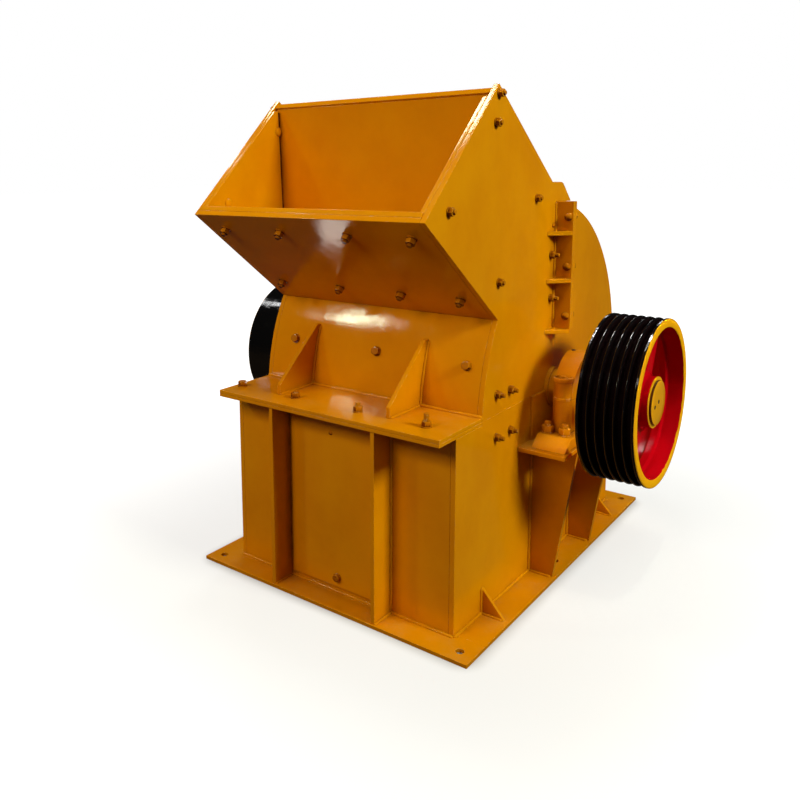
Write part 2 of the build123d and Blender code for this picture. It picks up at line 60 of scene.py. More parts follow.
log = logging.getLogger("crusher")


class Axis(Enum):
    """The directions that plates and bolts face, besides the two sides."""

    REAR = (0.0, 1.0, 0.0)
    FRONT = (0.0, -1.0, 0.0)
    UP = (0.0, 0.0, 1.0)
    DOWN = (0.0, 0.0, -1.0)


class Body(Enum):
    """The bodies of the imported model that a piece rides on."""

    CASING = "casing"
    ROTOR = "rotor"


class Nodes:
    """A small helper that places and links shader nodes in one tree."""

    def __init__(self, tree: bpy.types.NodeTree) -> None:
        """Keep the tree that the nodes go into.

        Args:
            tree: a material's or a group's node tree.
        """
        self.tree = tree

    def add(self, kind: str, **values: object) -> bpy.types.Node:
        """Add one node and set its properties.

        Args:
            kind: the node's type name.
            **values: properties of the node, such as operation or blend_type.

        Returns:
            The new node.
        """
        node = self.tree.nodes.new(kind)
        for name, value in values.items():
            setattr(node, name, value)
        return node

    def feed(self, socket: bpy.types.NodeSocket, value: Value) -> None:
        """Link a socket to another node's output, or set its plain value.

        Args:
            socket: the input.
            value: an output, or a number or colour.
        """
        if isinstance(value, bpy.types.NodeSocket):
            self.tree.links.new(value, socket)
        else:
            socket.default_value = value

    def math(self, operation: str, *values: Value, clamp: bool = False) -> bpy.types.NodeSocket:
        """Add a Math node.

        Args:
            operation: the node's operation.
            *values: numbers or outputs for its inputs, in order.
            clamp: keep the result between 0 and 1.

        Returns:
            The node's output.
        """
        node = self.add("ShaderNodeMath", operation=operation, use_clamp=clamp)
        for socket, value in zip(node.inputs, values):
            self.feed(socket, value)
        return node.outputs[0]

    def axis(self, vector: Value, name: str) -> bpy.types.NodeSocket:
        """Take one coordinate out of a vector.

        Args:
            vector: the output that gives the vector.
            name: X, Y or Z.

        Returns:
            The coordinate's output.
        """
        parts = self.add("ShaderNodeSeparateXYZ")
        self.feed(parts.inputs[0], vector)
        return parts.outputs[name]

    def length(self, first: Value, second: Value) -> bpy.types.NodeSocket:
        """Return the root of the sum of two squares."""
        squares = [self.math("MULTIPLY", value, value) for value in (first, second)]
        return self.math("SQRT", self.math("ADD", *squares))

    def noise(self, vector: Value, scale: float, detail: float = 3.0,
              rough: float = 0.5) -> bpy.types.NodeSocket:
        """Add a Noise texture.

        Args:
            vector: the position that it reads.
            scale: how many lumps fit in a metre.
            detail: how many finer layers it has.
            rough: how strong the finer layers are.

        Returns:
            Its value.
        """
        node = self.add("ShaderNodeTexNoise")
        self.feed(node.inputs["Vector"], vector)
        node.inputs["Scale"].default_value = scale
        node.inputs["Detail"].default_value = detail
        node.inputs["Roughness"].default_value = rough
        return node.outputs["Fac"]

    def ramp(self, value: Value, low: float, high: float, start: float = 0.0,
             end: float = 1.0) -> bpy.types.NodeSocket:
        """Map a range smoothly to another one and hold the ends.

        Args:
            value: what is mapped.
            low: the value that gives start.
            high: the value that gives end.
            start: the result at low.
            end: the result at high.

        Returns:
            The result's output.
        """
        node = self.add("ShaderNodeMapRange", interpolation_type="SMOOTHSTEP")
        for name, number in (("Value", value), ("From Min", low), ("From Max", high),
                             ("To Min", start), ("To Max", end)):
            self.feed(node.inputs[name], number)
        return node.outputs["Result"]

    def stretched(self, vector: Value, scale: Point) -> bpy.types.NodeSocket:
        """Scale a vector by a different amount on each axis.

        Args:
            vector: the vector's output.
            scale: the three factors.

        Returns:
            The scaled vector's output.
        """
        node = self.add("ShaderNodeMapping")
        self.feed(node.inputs["Vector"], vector)
        node.inputs["Scale"].default_value = scale
        return node.outputs["Vector"]

    def mix(self, factor: Value, first: Value, second: Value) -> bpy.types.NodeSocket:
        """Mix two colours.

        Args:
            factor: 0 for the first and 1 for the second.
            first: a colour, or an output.
            second: a colour, or an output.

        Returns:
            The mixed colour's output.
        """
        node = self.add("ShaderNodeMix", data_type="RGBA")
        self.feed(node.inputs[0], factor)
        for socket, value in ((node.inputs[6], first), (node.inputs[7], second)):
            self.feed(socket, (*value, 1.0) if isinstance(value, tuple) and len(value) == 3 else value)
        return node.outputs[2]

    def bump(self, shader: bpy.types.Node, height: Value, strength: float, depth: float) -> None:
        """Let a height field turn a shader's normal.

        Args:
            shader: the Principled shader.
            height: the height field's output.
            strength: how strongly it shows, from 0 to 1.
            depth: the height in metres that 1 stands for.
        """
        bump = self.add("ShaderNodeBump")
        bump.inputs["Strength"].default_value = strength
        bump.inputs["Distance"].default_value = depth
        self.feed(bump.inputs["Height"], height)
        self.feed(shader.inputs["Normal"], bump.outputs["Normal"])


Group = tuple[bpy.types.NodeTree, Nodes, bpy.types.Node, bpy.types.Node]
Started = tuple[bpy.types.Material, Nodes, bpy.types.Node, bpy.types.NodeSocket]


def new_group(name: str, inputs: dict[str, float], outputs: tuple[str, ...]) -> Group:
    """Make an empty shader node group that takes a position vector and numbers and gives values.

    Args:
        name: the group's name.
        inputs: the number inputs with their default values.
        outputs: the names of its value outputs.

    Returns:
        The tree, its node helper, and its input and output nodes.
    """
    tree = bpy.data.node_groups.new(name, "ShaderNodeTree")
    tree.interface.new_socket("Vector", in_out="INPUT", socket_type="NodeSocketVector")
    for label, value in inputs.items():
        socket = tree.interface.new_socket(label, in_out="INPUT", socket_type="NodeSocketFloat")
        socket.default_value = value
    for label in outputs:
        tree.interface.new_socket(label, in_out="OUTPUT", socket_type="NodeSocketFloat")
    nodes = Nodes(tree)
    return tree, nodes, nodes.add("NodeGroupInput"), nodes.add("NodeGroupOutput")


class Effects:
    """The shared shader node groups: brushed paint skin, edges lightened by chips and painted highlights,
    painted corner shade and dust.
    """

    def __init__(self) -> None:
        """Build each group once."""
        self.skin = self._skin()
        self.edges = self._edges()
        self.corner_shade = self._corner_shade()
        self.dust = self._dust()

    @staticmethod
    def _skin() -> bpy.types.NodeTree:
        """Make the uneven skin of thick enamel: buckled plate, brush strokes, runs and orange peel.

        Returns:
            The group, which gives the height of the skin, and two slow shares for its tint.
        """
        tree, nodes, given, out = new_group(
            "enamel_skin", {"Waves": 0.5, "Strokes": 0.3, "Peel": 0.12}, ("Height", "Tint", "Streak"))
        place = given.outputs["Vector"]
        waves = nodes.noise(place, 9.0, 2.0, 0.45)
        lumps = nodes.noise(place, 48.0, 2.0, 0.5)
        strokes = nodes.noise(nodes.stretched(place, (1.0, 1.0, 0.12)), 130.0, 3.0, 0.6)
        cross = nodes.noise(nodes.stretched(place, (0.14, 1.0, 1.0)), 120.0, 2.0, 0.5)
        peel = nodes.noise(place, 230.0, 2.0, 0.55)
        broad = nodes.math("MULTIPLY", waves, given.outputs["Waves"])
        dented = nodes.math("MULTIPLY", given.outputs["Waves"], 0.22)
        middle = nodes.math("MULTIPLY_ADD", lumps, dented, broad)
        brushed = nodes.math("MULTIPLY_ADD", nodes.math("ADD", strokes, nodes.math("MULTIPLY", cross, 0.6)),
                             nodes.math("MULTIPLY", given.outputs["Strokes"], 0.12), middle)
        height = nodes.math("MULTIPLY_ADD", peel, given.outputs["Peel"], brushed)
        nodes.feed(out.inputs["Height"], height)
        tint = nodes.noise(place, 4.5, 5.0, 0.62)
        nodes.feed(out.inputs["Tint"], nodes.ramp(tint, 0.3, 0.7))
        streak = nodes.noise(nodes.stretched(place, (1.0, 1.0, 0.45)), 14.0, 5.0, 0.6)
        nodes.feed(out.inputs["Streak"], nodes.ramp(streak, 0.4, 0.8))
        return tree

    @staticmethod
    def _edges() -> bpy.types.NodeTree:
        """Make a mask of lightened sharp edges, partly chips and partly painted highlights.

        It is how far a rounded normal turns from the true one, broken up by noise.

        Returns:
            The group, which gives the mask.
        """
        tree, nodes, given, out = new_group("chipped_and_highlit_edges", {"Reach": 0.002, "Chips": 0.5}, ("Mask",))
        rounded = nodes.add("ShaderNodeBevel", samples=4)
        nodes.feed(rounded.inputs["Radius"], given.outputs["Reach"])
        true = nodes.add("ShaderNodeNewGeometry")
        turn = nodes.add("ShaderNodeVectorMath", operation="DOT_PRODUCT")
        nodes.feed(turn.inputs[0], rounded.outputs["Normal"])
        nodes.feed(turn.inputs[1], true.outputs["Normal"])
        edge = nodes.ramp(turn.outputs["Value"], 0.985, 0.86)
        patchy = nodes.noise(given.outputs["Vector"], 70.0, 4.0, 0.7)
        marked = nodes.math("ADD", patchy, nodes.math("MULTIPLY", given.outputs["Chips"], 0.3))
        kept = nodes.math("GREATER_THAN", marked, 0.66)
        nodes.feed(out.inputs["Mask"], nodes.math("MULTIPLY", edge, kept, clamp=True))
        return tree

    @staticmethod
    def _corner_shade() -> bpy.types.NodeTree:
        """Make a mask of painted shade in inner corners, found by ambient occlusion and broken up by noise.

        Returns:
            The group, which gives the mask.
        """
        tree, nodes, given, out = new_group("painted_corner_shade", {"Amount": 0.6}, ("Mask",))
        near = nodes.add("ShaderNodeAmbientOcclusion", samples=4)
        near.inputs["Distance"].default_value = 0.045
        shut = nodes.math("SUBTRACT", 1.0, near.outputs["AO"])
        broken = nodes.ramp(nodes.noise(given.outputs["Vector"], 22.0, 4.0, 0.6), 0.25, 0.75, 0.35, 1.0)
        amount = nodes.math("MULTIPLY", nodes.math("MULTIPLY", nodes.ramp(shut, 0.12, 0.75), broken),
                            given.outputs["Amount"], clamp=True)
        nodes.feed(out.inputs["Mask"], amount)
        return tree

    @staticmethod
    def _dust() -> bpy.types.NodeTree:
        """Make a mask of dust that settles on faces that look up.

        Returns:
            The group, which gives the mask.
        """
        tree, nodes, given, out = new_group("settled_dust", {"Amount": 0.4}, ("Mask",))
        up = nodes.axis(nodes.add("ShaderNodeNewGeometry").outputs["Normal"], "Z")
        facing = nodes.ramp(up, 0.55, 0.98)
        patch = nodes.ramp(nodes.noise(given.outputs["Vector"], 11.0, 5.0, 0.65), 0.42, 0.72)
        speck = nodes.ramp(nodes.noise(given.outputs["Vector"], 210.0, 2.0, 0.6), 0.5, 0.7, 0.4, 1.0)
        settled = nodes.math("MULTIPLY", facing, patch)
        speckled = nodes.math("MULTIPLY", speck, given.outputs["Amount"])
        nodes.feed(out.inputs["Mask"], nodes.math("MULTIPLY", settled, speckled))
        return tree


def start_material(name: str) -> Started:
    """Make a material with a Principled shader and its Object coordinates.

    Args:
        name: the material's name.

    Returns:
        The material, its node helper, the shader node and the position output.
    """
    material = bpy.data.materials.new(name)
    material.use_nodes = True
    nodes = Nodes(material.node_tree)
    shader = material.node_tree.nodes["Principled BSDF"]
    place = nodes.add("ShaderNodeTexCoord").outputs["Object"]
    return material, nodes, shader, place


def use_group(nodes: Nodes, tree: bpy.types.NodeTree, place: Value, **values: float) -> bpy.types.Node:
    """Place a shared group in a material with its own values.

    Args:
        nodes: the material's node helper.
        tree: the group.
        place: the position output that the group reads.
        **values: numbers for its inputs, by name.

    Returns:
        The group node.
    """
    node = nodes.add("ShaderNodeGroup", node_tree=tree)
    nodes.feed(node.inputs["Vector"], place)
    for name, value in values.items():
        node.inputs[name].default_value = value
    return node


@dataclass(frozen=True)
class GlossPaint:
    """Thick gloss enamel brushed onto steel plate; its lengths are in metres."""

    name: str
    base: Point
    deep: Point
    thin: Point
    roughness: float = 0.07
    specular: float = 0.35
    waves: float = 0.5
    strokes: float = 0.3
    peel: float = 0.07
    bump: float = 0.5
    edge_marks: float = 0.4
    edge_mark_strength: float = 0.45
    corner_shade: float = 0.55
    dust: float = 0.18
    dust_colour: Point = (0.62, 0.45, 0.22)
    chip_and_highlight_colour: Point = (0.95, 0.66, 0.26)
    corner_shade_colour: Point = (0.20, 0.045, 0.002)
    edge_reach: float = 0.0022
    dust_dulls: float = 0.35
    skin_depth: float = 0.004

    def coat(self, nodes: Nodes, place: Value, skin: bpy.types.Node) -> bpy.types.NodeSocket:
        """Colour the fresh paint, thicker and thinner in places."""
        coat = nodes.mix(skin.outputs["Tint"], self.deep, self.base)
        return nodes.mix(nodes.math("MULTIPLY", skin.outputs["Streak"], 0.3), coat, self.thin)

    def gloss(self, nodes: Nodes, place: Value) -> float | bpy.types.NodeSocket:
        """Return how strongly the skin shines."""
        return self.specular

    def build(self, effects: Effects) -> bpy.types.Material:
        """Build the paint's material.

        Args:
            effects: the shared node groups.

        Returns:
            The finished material.
        """
        material, nodes, shader, place = start_material(self.name)
        skin = use_group(nodes, effects.skin, place, Waves=self.waves, Strokes=self.strokes, Peel=self.peel)
        edges = use_group(nodes, effects.edges, place, Reach=self.edge_reach, Chips=self.edge_marks)
        corner_shade = use_group(nodes, effects.corner_shade, place, Amount=self.corner_shade)
        dust = use_group(nodes, effects.dust, place, Amount=self.dust)
        # Painted shade: inner corners are darkened towards the corner shade colour.
        coat = nodes.mix(corner_shade.outputs["Mask"], self.coat(nodes, place, skin), self.corner_shade_colour)
        coat = nodes.mix(dust.outputs["Mask"], coat, self.dust_colour)
        # Lightened edges: partly paint chips, partly painted highlights where rounded edges catch light.
        edge_lightening = nodes.math("MULTIPLY", edges.outputs["Mask"], self.edge_mark_strength)
        nodes.feed(shader.inputs["Base Color"], nodes.mix(edge_lightening, coat, self.chip_and_highlight_colour))
        rough = nodes.math("MULTIPLY_ADD", skin.outputs["Streak"], 0.04, self.roughness)
        rough = nodes.math("MULTIPLY_ADD", dust.outputs["Mask"], self.dust_dulls, rough)
        nodes.feed(shader.inputs["Roughness"], rough)
        nodes.feed(shader.inputs["Specular IOR Level"], self.gloss(nodes, place))
        nodes.bump(shader, skin.outputs["Height"], self.bump, self.skin_depth)
        return material


@dataclass(frozen=True)
class BoltPaint(GlossPaint):
    """The paint on nuts and bolt heads, with painted shade on the sides that face away from the light."""

    shaded_colour: Point = (0.15, 0.022, 0.001)
    sideways: float = 0.45

    def coat(self, nodes: Nodes, place: Value, skin: bpy.types.Node) -> bpy.types.NodeSocket:
        """Colour the nut: lit where its faces look up or to the right, and darkened with painted shade
        elsewhere.

        Args:
            nodes: the material's node helper.
            place: the position output.
            skin: the group node of the uneven skin.

        Returns:
            The colour's output.
        """
        normal = nodes.add("ShaderNodeNewGeometry").outputs["Normal"]
        # Painted light: faces that look up or towards +X are lit, the others are shaded.
        facing_light = nodes.math("MULTIPLY_ADD", nodes.axis(normal, "X"), self.sideways, nodes.axis(normal, "Z"))
        uneven = nodes.math("SUBTRACT", nodes.noise(place, 160.0, 2.0), 0.5)
        facing_light = nodes.math("MULTIPLY_ADD", uneven, 0.5, facing_light)
        return nodes.mix(nodes.ramp(facing_light, -0.25, 0.30), self.shaded_colour, super().coat(nodes, place, skin))


def along_shaft(nodes: Nodes, place: Value, side: int) -> bpy.types.NodeSocket:
    """Return the distance out along the shaft in metres, towards one side."""
    return nodes.math("MULTIPLY", nodes.axis(place, "X"), float(side))


def from_shaft(nodes: Nodes, place: Value) -> bpy.types.NodeSocket:
    """Return the distance from the shaft's centre line in metres.

    It is the root of dy squared plus dz squared.

    Args:
        nodes: the material's node helper.
        place: the position output.

    Returns:
        The distance's output.
    """
    across = nodes.math("SUBTRACT", nodes.axis(place, "Y"), SHAFT_Y * MM)
    up = nodes.math("SUBTRACT", nodes.axis(place, "Z"), SHAFT_Z * MM)
    return nodes.length(across, up)


@dataclass(frozen=True)
class WheelPaint(GlossPaint):
    """The wheels' hand-painted colours: black belt face, yellow edges and hub, red inside.

    Its lengths are in millimetres; the reaches are how far one colour runs past an edge.
    """

    side: int = 1
    face: float = 556.0
    back: float = 430.0
    hub_face: float = 542.0
    rim_inner: float = 170.0
    rim_outer: float = 190.0
    hub_outer: float = 110.0
    face_reach: float = 1.7
    back_reach: float = 1.2
    inner_reach: float = 1.6
    groove_fades: Pair = (4.0, 1.0)
    inner_gloss: float = 0.15
    yellow: Point = (0.96, 0.44, 0.006)
    red: Point = (0.60, 0.0012, 0.007)
    waver: float = 1.6

    def coat(self, nodes: Nodes, place: Value, skin: bpy.types.Node) -> bpy.types.NodeSocket:
        """Colour black, red or yellow by where the point lies, with an unsteady painted border.

        Args:
            nodes: the material's node helper.
            place: the position output.
            skin: the group node of the uneven skin.

        Returns:
            The colour's output.
        """
        black = super().coat(nodes, place, skin)
        uneven = nodes.math("SUBTRACT", nodes.noise(place, 38.0, 2.0), 0.5)
        shake = nodes.math("MULTIPLY", uneven, self.waver * MM)
        radius = nodes.math("ADD", from_shaft(nodes, place), shake)
        out = nodes.math("ADD", along_shaft(nodes, place, self.side), shake)
        inside = nodes.math("LESS_THAN", radius, (self.rim_inner + self.inner_reach) * MM)
        colour = nodes.mix(inside, black, self.red)
        on_ring = nodes.math("GREATER_THAN", radius, (self.rim_inner + 0.2) * MM)
        at_face = nodes.math("GREATER_THAN", out, (self.face - self.face_reach) * MM)
        at_back = nodes.math("LESS_THAN", out, (self.back + self.back_reach) * MM)
        hub = nodes.math("GREATER_THAN", out, (self.hub_face - self.inner_reach) * MM)
        near = nodes.math("LESS_THAN", radius, self.hub_outer * MM)
        for along, across in ((at_face, on_ring), (at_back, on_ring), (hub, near)):
            colour = nodes.mix(nodes.math("MULTIPLY", along, across), colour, self.yellow)
        return colour

    def gloss(self, nodes: Nodes, place: Value) -> float | bpy.types.NodeSocket:
        """Shine fully on the crests of the rim, not at all in its grooves, and a little inside.

        Args:
            nodes: the material's node helper.
            place: the position output.

        Returns:
            The shine's output.
        """
        radius = from_shaft(nodes, place)
        deep, high = self.groove_fades
        shallow = nodes.ramp(radius, (self.rim_outer - deep) * MM, (self.rim_outer - high) * MM)
        inside = nodes.math("LESS_THAN", radius, (self.rim_inner + self.inner_reach) * MM)
        inside = nodes.math("MULTIPLY", inside, self.inner_gloss)
        return nodes.math("MULTIPLY", nodes.math("MAXIMUM", shallow, inside), self.specular)


@dataclass(frozen=True)
class KeeperPaint(GlossPaint):
    """The hub's keeper plate: yellow on its face, and dark on its side."""

    side_colour: Point = (0.07, 0.022, 0.006)
    painted_r: float = 50.1

    def coat(self, nodes: Nodes, place: Value, skin: bpy.types.Node) -> bpy.types.NodeSocket:
        """Colour the face, and leave the side dark, by the distance from the shaft's centre line.

        Args:
            nodes: the material's node helper.
            place: the position output.
            skin: the group node of the uneven skin.

        Returns:
            The colour's output.
        """
        face = nodes.math("LESS_THAN", from_shaft(nodes, place), self.painted_r * MM)
        return nodes.mix(face, self.side_colour, super().coat(nodes, place, skin))


@dataclass(frozen=True)
class BareSteel:
    """Machined or rolled bare steel, with turning marks round the shaft axis and painted shaft ends."""

    name: str
    base: Point
    stain: Point
    roughness: float = 0.32
    turned: bool = False
    grain: float = 90.0
    painted_from: float = 9000.0
    paint: Point = (0.86, 0.40, 0.012)
    steel_corner_shade: Point = (0.05, 0.03, 0.02)
    turning: float = 9.0

    def build(self, effects: Effects) -> bpy.types.Material:
        """Build the steel's material.

        Args:
            effects: the shared node groups.

        Returns:
            The finished material.
        """
        material, nodes, shader, place = start_material(self.name)
        corner_shade = use_group(nodes, effects.corner_shade, place, Amount=0.8)
        along = nodes.axis(place, "X")
        marks = place
        if self.turned:
            rings = nodes.add("ShaderNodeCombineXYZ")
            nodes.feed(rings.inputs["X"], nodes.math("MULTIPLY", along, self.turning))
            nodes.feed(rings.inputs["Y"], nodes.math("MULTIPLY", from_shaft(nodes, place), self.turning))
            marks = rings.outputs[0]
        lines = nodes.noise(marks, self.grain, 3.0, 0.6)
        stains = nodes.ramp(nodes.noise(place, 17.0, 5.0, 0.65), 0.42, 0.68)
        coat = nodes.mix(stains, self.base, self.stain)
        # Painted shade: inner corners of the steel are darkened.
        coat = nodes.mix(corner_shade.outputs["Mask"], coat, self.steel_corner_shade)
        painted = nodes.math("GREATER_THAN", nodes.math("ABSOLUTE", along), self.painted_from * MM)
        nodes.feed(shader.inputs["Base Color"], nodes.mix(painted, coat, self.paint))
        nodes.feed(shader.inputs["Roughness"], nodes.math("MULTIPLY_ADD", stains, 0.25, self.roughness))
        nodes.feed(shader.inputs["Metallic"], nodes.math("SUBTRACT", 1.0, painted))
        nodes.bump(shader, lines, 0.35, 0.0006)
        return material


class Finishes:
    """Every finish of the machine, built once and found by its name."""

    def __init__(self) -> None:
        """Build the shared groups and the materials."""
        effects = Effects()
        orange, deep, thin = (0.80, 0.305, 0.0006), (0.72, 0.25, 0.0004), (0.84, 0.35, 0.0012)
        self.orange = GlossPaint("orange_gloss", orange, deep, thin).build(effects)
        self.weld = GlossPaint("painted_weld", orange, deep, thin, roughness=0.12, specular=0.6,
                               bump=0.8, edge_marks=0.3, edge_mark_strength=0.2, dust=0.1).build(effects)
        self.bolt = BoltPaint("painted_bolts", (0.66, 0.235, 0.001), (0.42, 0.125, 0.001), (0.78, 0.30, 0.003),
                              roughness=0.2, specular=0.45, waves=1.0, edge_marks=0.2, edge_mark_strength=0.5, corner_shade=0.9,
                              corner_shade_colour=(0.17, 0.028, 0.001)).build(effects)
        self.casting = GlossPaint("painted_casting", (0.80, 0.30, 0.002), (0.68, 0.22, 0.0015),
                                  (0.84, 0.34, 0.004), roughness=0.18, waves=0.8, strokes=0.5, peel=0.16,
                                  corner_shade=1.0, corner_shade_colour=(0.13, 0.02, 0.001)).build(effects)
        wheel = {"specular": 0.5, "waves": 1.4, "strokes": 1.2, "peel": 0.10, "bump": 0.6, "edge_marks": 0.0,
                 "edge_mark_strength": 0.0, "dust": 0.0, "corner_shade": 0.4, "corner_shade_colour": (0.02, 0.002, 0.002)}
        black = ((0.0030, 0.0030, 0.0036), (0.0016, 0.0016, 0.0020), (0.0050, 0.0050, 0.0058))
        self.pulley = WheelPaint("pulley_enamel", *black, **wheel).build(effects)
        self.flywheel = WheelPaint("flywheel_enamel", *black, side=-1, face=533.0, back=418.0,
                                   hub_face=519.0, **wheel).build(effects)
        yellow, deep_yellow = (0.94, 0.44, 0.004), (0.88, 0.38, 0.003)
        self.keeper = KeeperPaint("keeper_plate_paint", yellow, deep_yellow, yellow, edge_marks=0.0,
                                  corner_shade=0.4).build(effects)
        self.turned = BareSteel("turned_steel", (0.55, 0.55, 0.56), (0.36, 0.33, 0.30), turned=True,
                                painted_from=505.0).build(effects)
        raw = BareSteel("raw_steel", (0.25, 0.24, 0.23), (0.16, 0.10, 0.07), roughness=0.5)
        self.raw = raw.build(effects)
        self.cast = BareSteel("cast_hammer", (0.20, 0.19, 0.18), (0.12, 0.09, 0.07), roughness=0.55,
                              grain=260.0).build(effects)
        # A near-black finish for painted shade: the dark hole discs and the liner seams' strips.
        self.hole = GlossPaint("painted_shade_dark", (0.03, 0.015, 0.01), (0.02, 0.01, 0.008), (0.04, 0.02, 0.01),
                               roughness=0.7, specular=0.1, edge_marks=0.0, dust=0.0).build(effects)


def signed_volume(points: np.ndarray, faces: np.ndarray) -> float:
    """Return six times the volume in a shell: the sum of a . (b x c) over each face's triangles.

    Args:
        points: the shell's points.
        faces: rows of point numbers, each a flat face that is fanned from its first point.

    Returns:
        The sum, which is negative where the faces point inwards.
    """
    first = points[faces[:, :1]]
    second, third = points[faces[:, 1:-1]], points[faces[:, 2:]]
    return float((first * np.cross(second, third)).sum())


class PieceMaker:
    """Collects closed shells and turns them into one piece."""

    def __init__(self, name: str) -> None:
        """Start an empty piece.

        Args:
            name: the piece's name.
        """
        self.name = name
        self.points: list[np.ndarray] = []
        self.faces: list[list[int]] = []
        self.count = 0

    def add_rings(self, rings: np.ndarray) -> None:
        """Add a closed shell: rings of points joined by quads, with a flat cap on each end.

        The faces are turned round if they point inwards.

        Args:
            rings: an array of rows, points per row and 3 coordinates, in millimetres.
        """
        rows, columns = rings.shape[:2]
        index = np.arange(rows * columns).reshape(rows, columns)
        after = np.roll(index, -1, axis=1)
        quads = np.stack([index[:-1], after[:-1], after[1:], index[1:]], axis=-1).reshape(-1, 4)
        flat = rings.reshape(-1, 3)
        middle = flat - flat.mean(axis=0)
        caps = np.stack([index[0][::-1], index[-1]])
        inside_out = signed_volume(middle, quads) + signed_volume(middle, caps) < 0
        for part in (quads, caps):
            self.faces.extend(((part[:, ::-1] if inside_out else part) + self.count).tolist())
        self.points.append(flat)
        self.count += len(flat)

    def add_loop(self, rings: np.ndarray) -> None:
        """Add a ring-shaped closed shell, whose last row joins its first.

        Args:
            rings: an array of rows, points per row and 3 coordinates, in millimetres.
        """
        rows, columns = rings.shape[:2]
        index = np.arange(rows * columns).reshape(rows, columns)
        below, after = np.roll(index, -1, axis=0), np.roll(index, -1, axis=1)
        quads = np.stack([index, after, np.roll(below, -1, axis=1), below], axis=-1).reshape(-1, 4)
        flat = rings.reshape(-1, 3)
        inside_out = signed_volume(flat - flat.mean(axis=0), quads) < 0
        self.faces.extend(((quads[:, ::-1] if inside_out else quads) + self.count).tolist())
        self.points.append(flat)
        self.count += len(flat)

    def finish(self, material: bpy.types.Material, slot: str, body: Body = Body.CASING,
               sharp: float = 34.0) -> bpy.types.Object:
        """Make the mesh object, paint it and ride it on its body.

        Args:
            material: its finish.
            slot: a material slot's name; it is not used.
            body: the body that carries it.
            sharp: the angle in degrees past which an edge stays sharp.

        Returns:
            The new object.
        """
        mesh = bpy.data.meshes.new(self.name)
        mesh.from_pydata((np.concatenate(self.points) * MM).tolist(), [], self.faces)
        mesh.polygons.foreach_set("use_smooth", np.ones(len(mesh.polygons), dtype=bool))
        mesh.set_sharp_from_angle(angle=math.radians(sharp))
        mesh.materials.append(material)
        mesh.update()
        piece = bpy.data.objects.new(self.name, mesh)
        bpy.context.scene.collection.objects.link(piece)
        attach(piece, body.value)
        log.info("%s: %d faces", self.name, len(mesh.polygons))
        return piece


def frame_of(direction: Triple) -> tuple[np.ndarray, np.ndarray, np.ndarray]:
    """Find two unit vectors that are square to a direction.

    Args:
        direction: the direction.

    Returns:
        The two vectors, and the unit direction itself.
    """
    along = np.asarray(direction, float)
    along = along / np.linalg.norm(along)
    helper = np.array([0.0, 0.0, 1.0]) if abs(along[2]) < 0.9 else np.array([0.0, 1.0, 0.0])
    first = np.cross(helper, along)
    first /= np.linalg.norm(first)
    return first, np.cross(along, first), along


def turned_rings(place: Triple, direction: Triple, profile: Outline, columns: int = 24, flats: float = 0.0,
                 spin: float = 0.0) -> np.ndarray:
    """Turn a profile about an axis, cut to a hexagon where flats is given.

    The surface is p(t, a) = place + h(t) n + r(t, a) (cos a e1 + sin a e2). For a hexagon,
    r(t, a) is the smaller of the profile's radius and (flats / 2) / cos(a mod 60 - 30 degrees).

    Args:
        place: the foot of the axis.
        direction: the way that the axis points.
        profile: pairs of height and radius.
        columns: points round the axis, a multiple of six.
        flats: the distance across the hexagon's flats, or 0 for a round.
        spin: how far the shape is turned round its axis, in degrees.

    Returns:
        The rings of the shell.
    """
    e1, e2, along = frame_of(direction)
    angle = np.linspace(0.0, 2.0 * math.pi, columns, endpoint=False)
    height, radius = np.array(profile, float).T
    radius = np.repeat(radius[:, None], columns, axis=1)
    if flats:
        radius = np.minimum(radius, flats / 2.0 / np.cos(np.mod(angle, math.pi / 3.0) - math.pi / 6.0))
    turned = angle + math.radians(spin)
    around = np.cos(turned)[:, None] * e1 + np.sin(turned)[:, None] * e2
    return np.asarray(place, float) + height[:, None, None] * along + radius[:, :, None] * around


@dataclass(frozen=True)
class BoltSize:
    """The sizes of one thread size's nut, head and washer, in millimetres."""

    thread: float
    flats: float
    nut: float
    washer: float
    pitch: float

    @property
    def corner(self) -> float:
        """Return the radius over the hexagon's corners."""
        return self.flats / math.sqrt(3.0)


M10 = BoltSize(10.0, 16.0, 8.4, 19.0, 1.5)
M12 = BoltSize(12.0, 18.0, 10.8, 22.0, 1.75)
M16 = BoltSize(16.0, 24.0, 14.8, 28.0, 2.0)


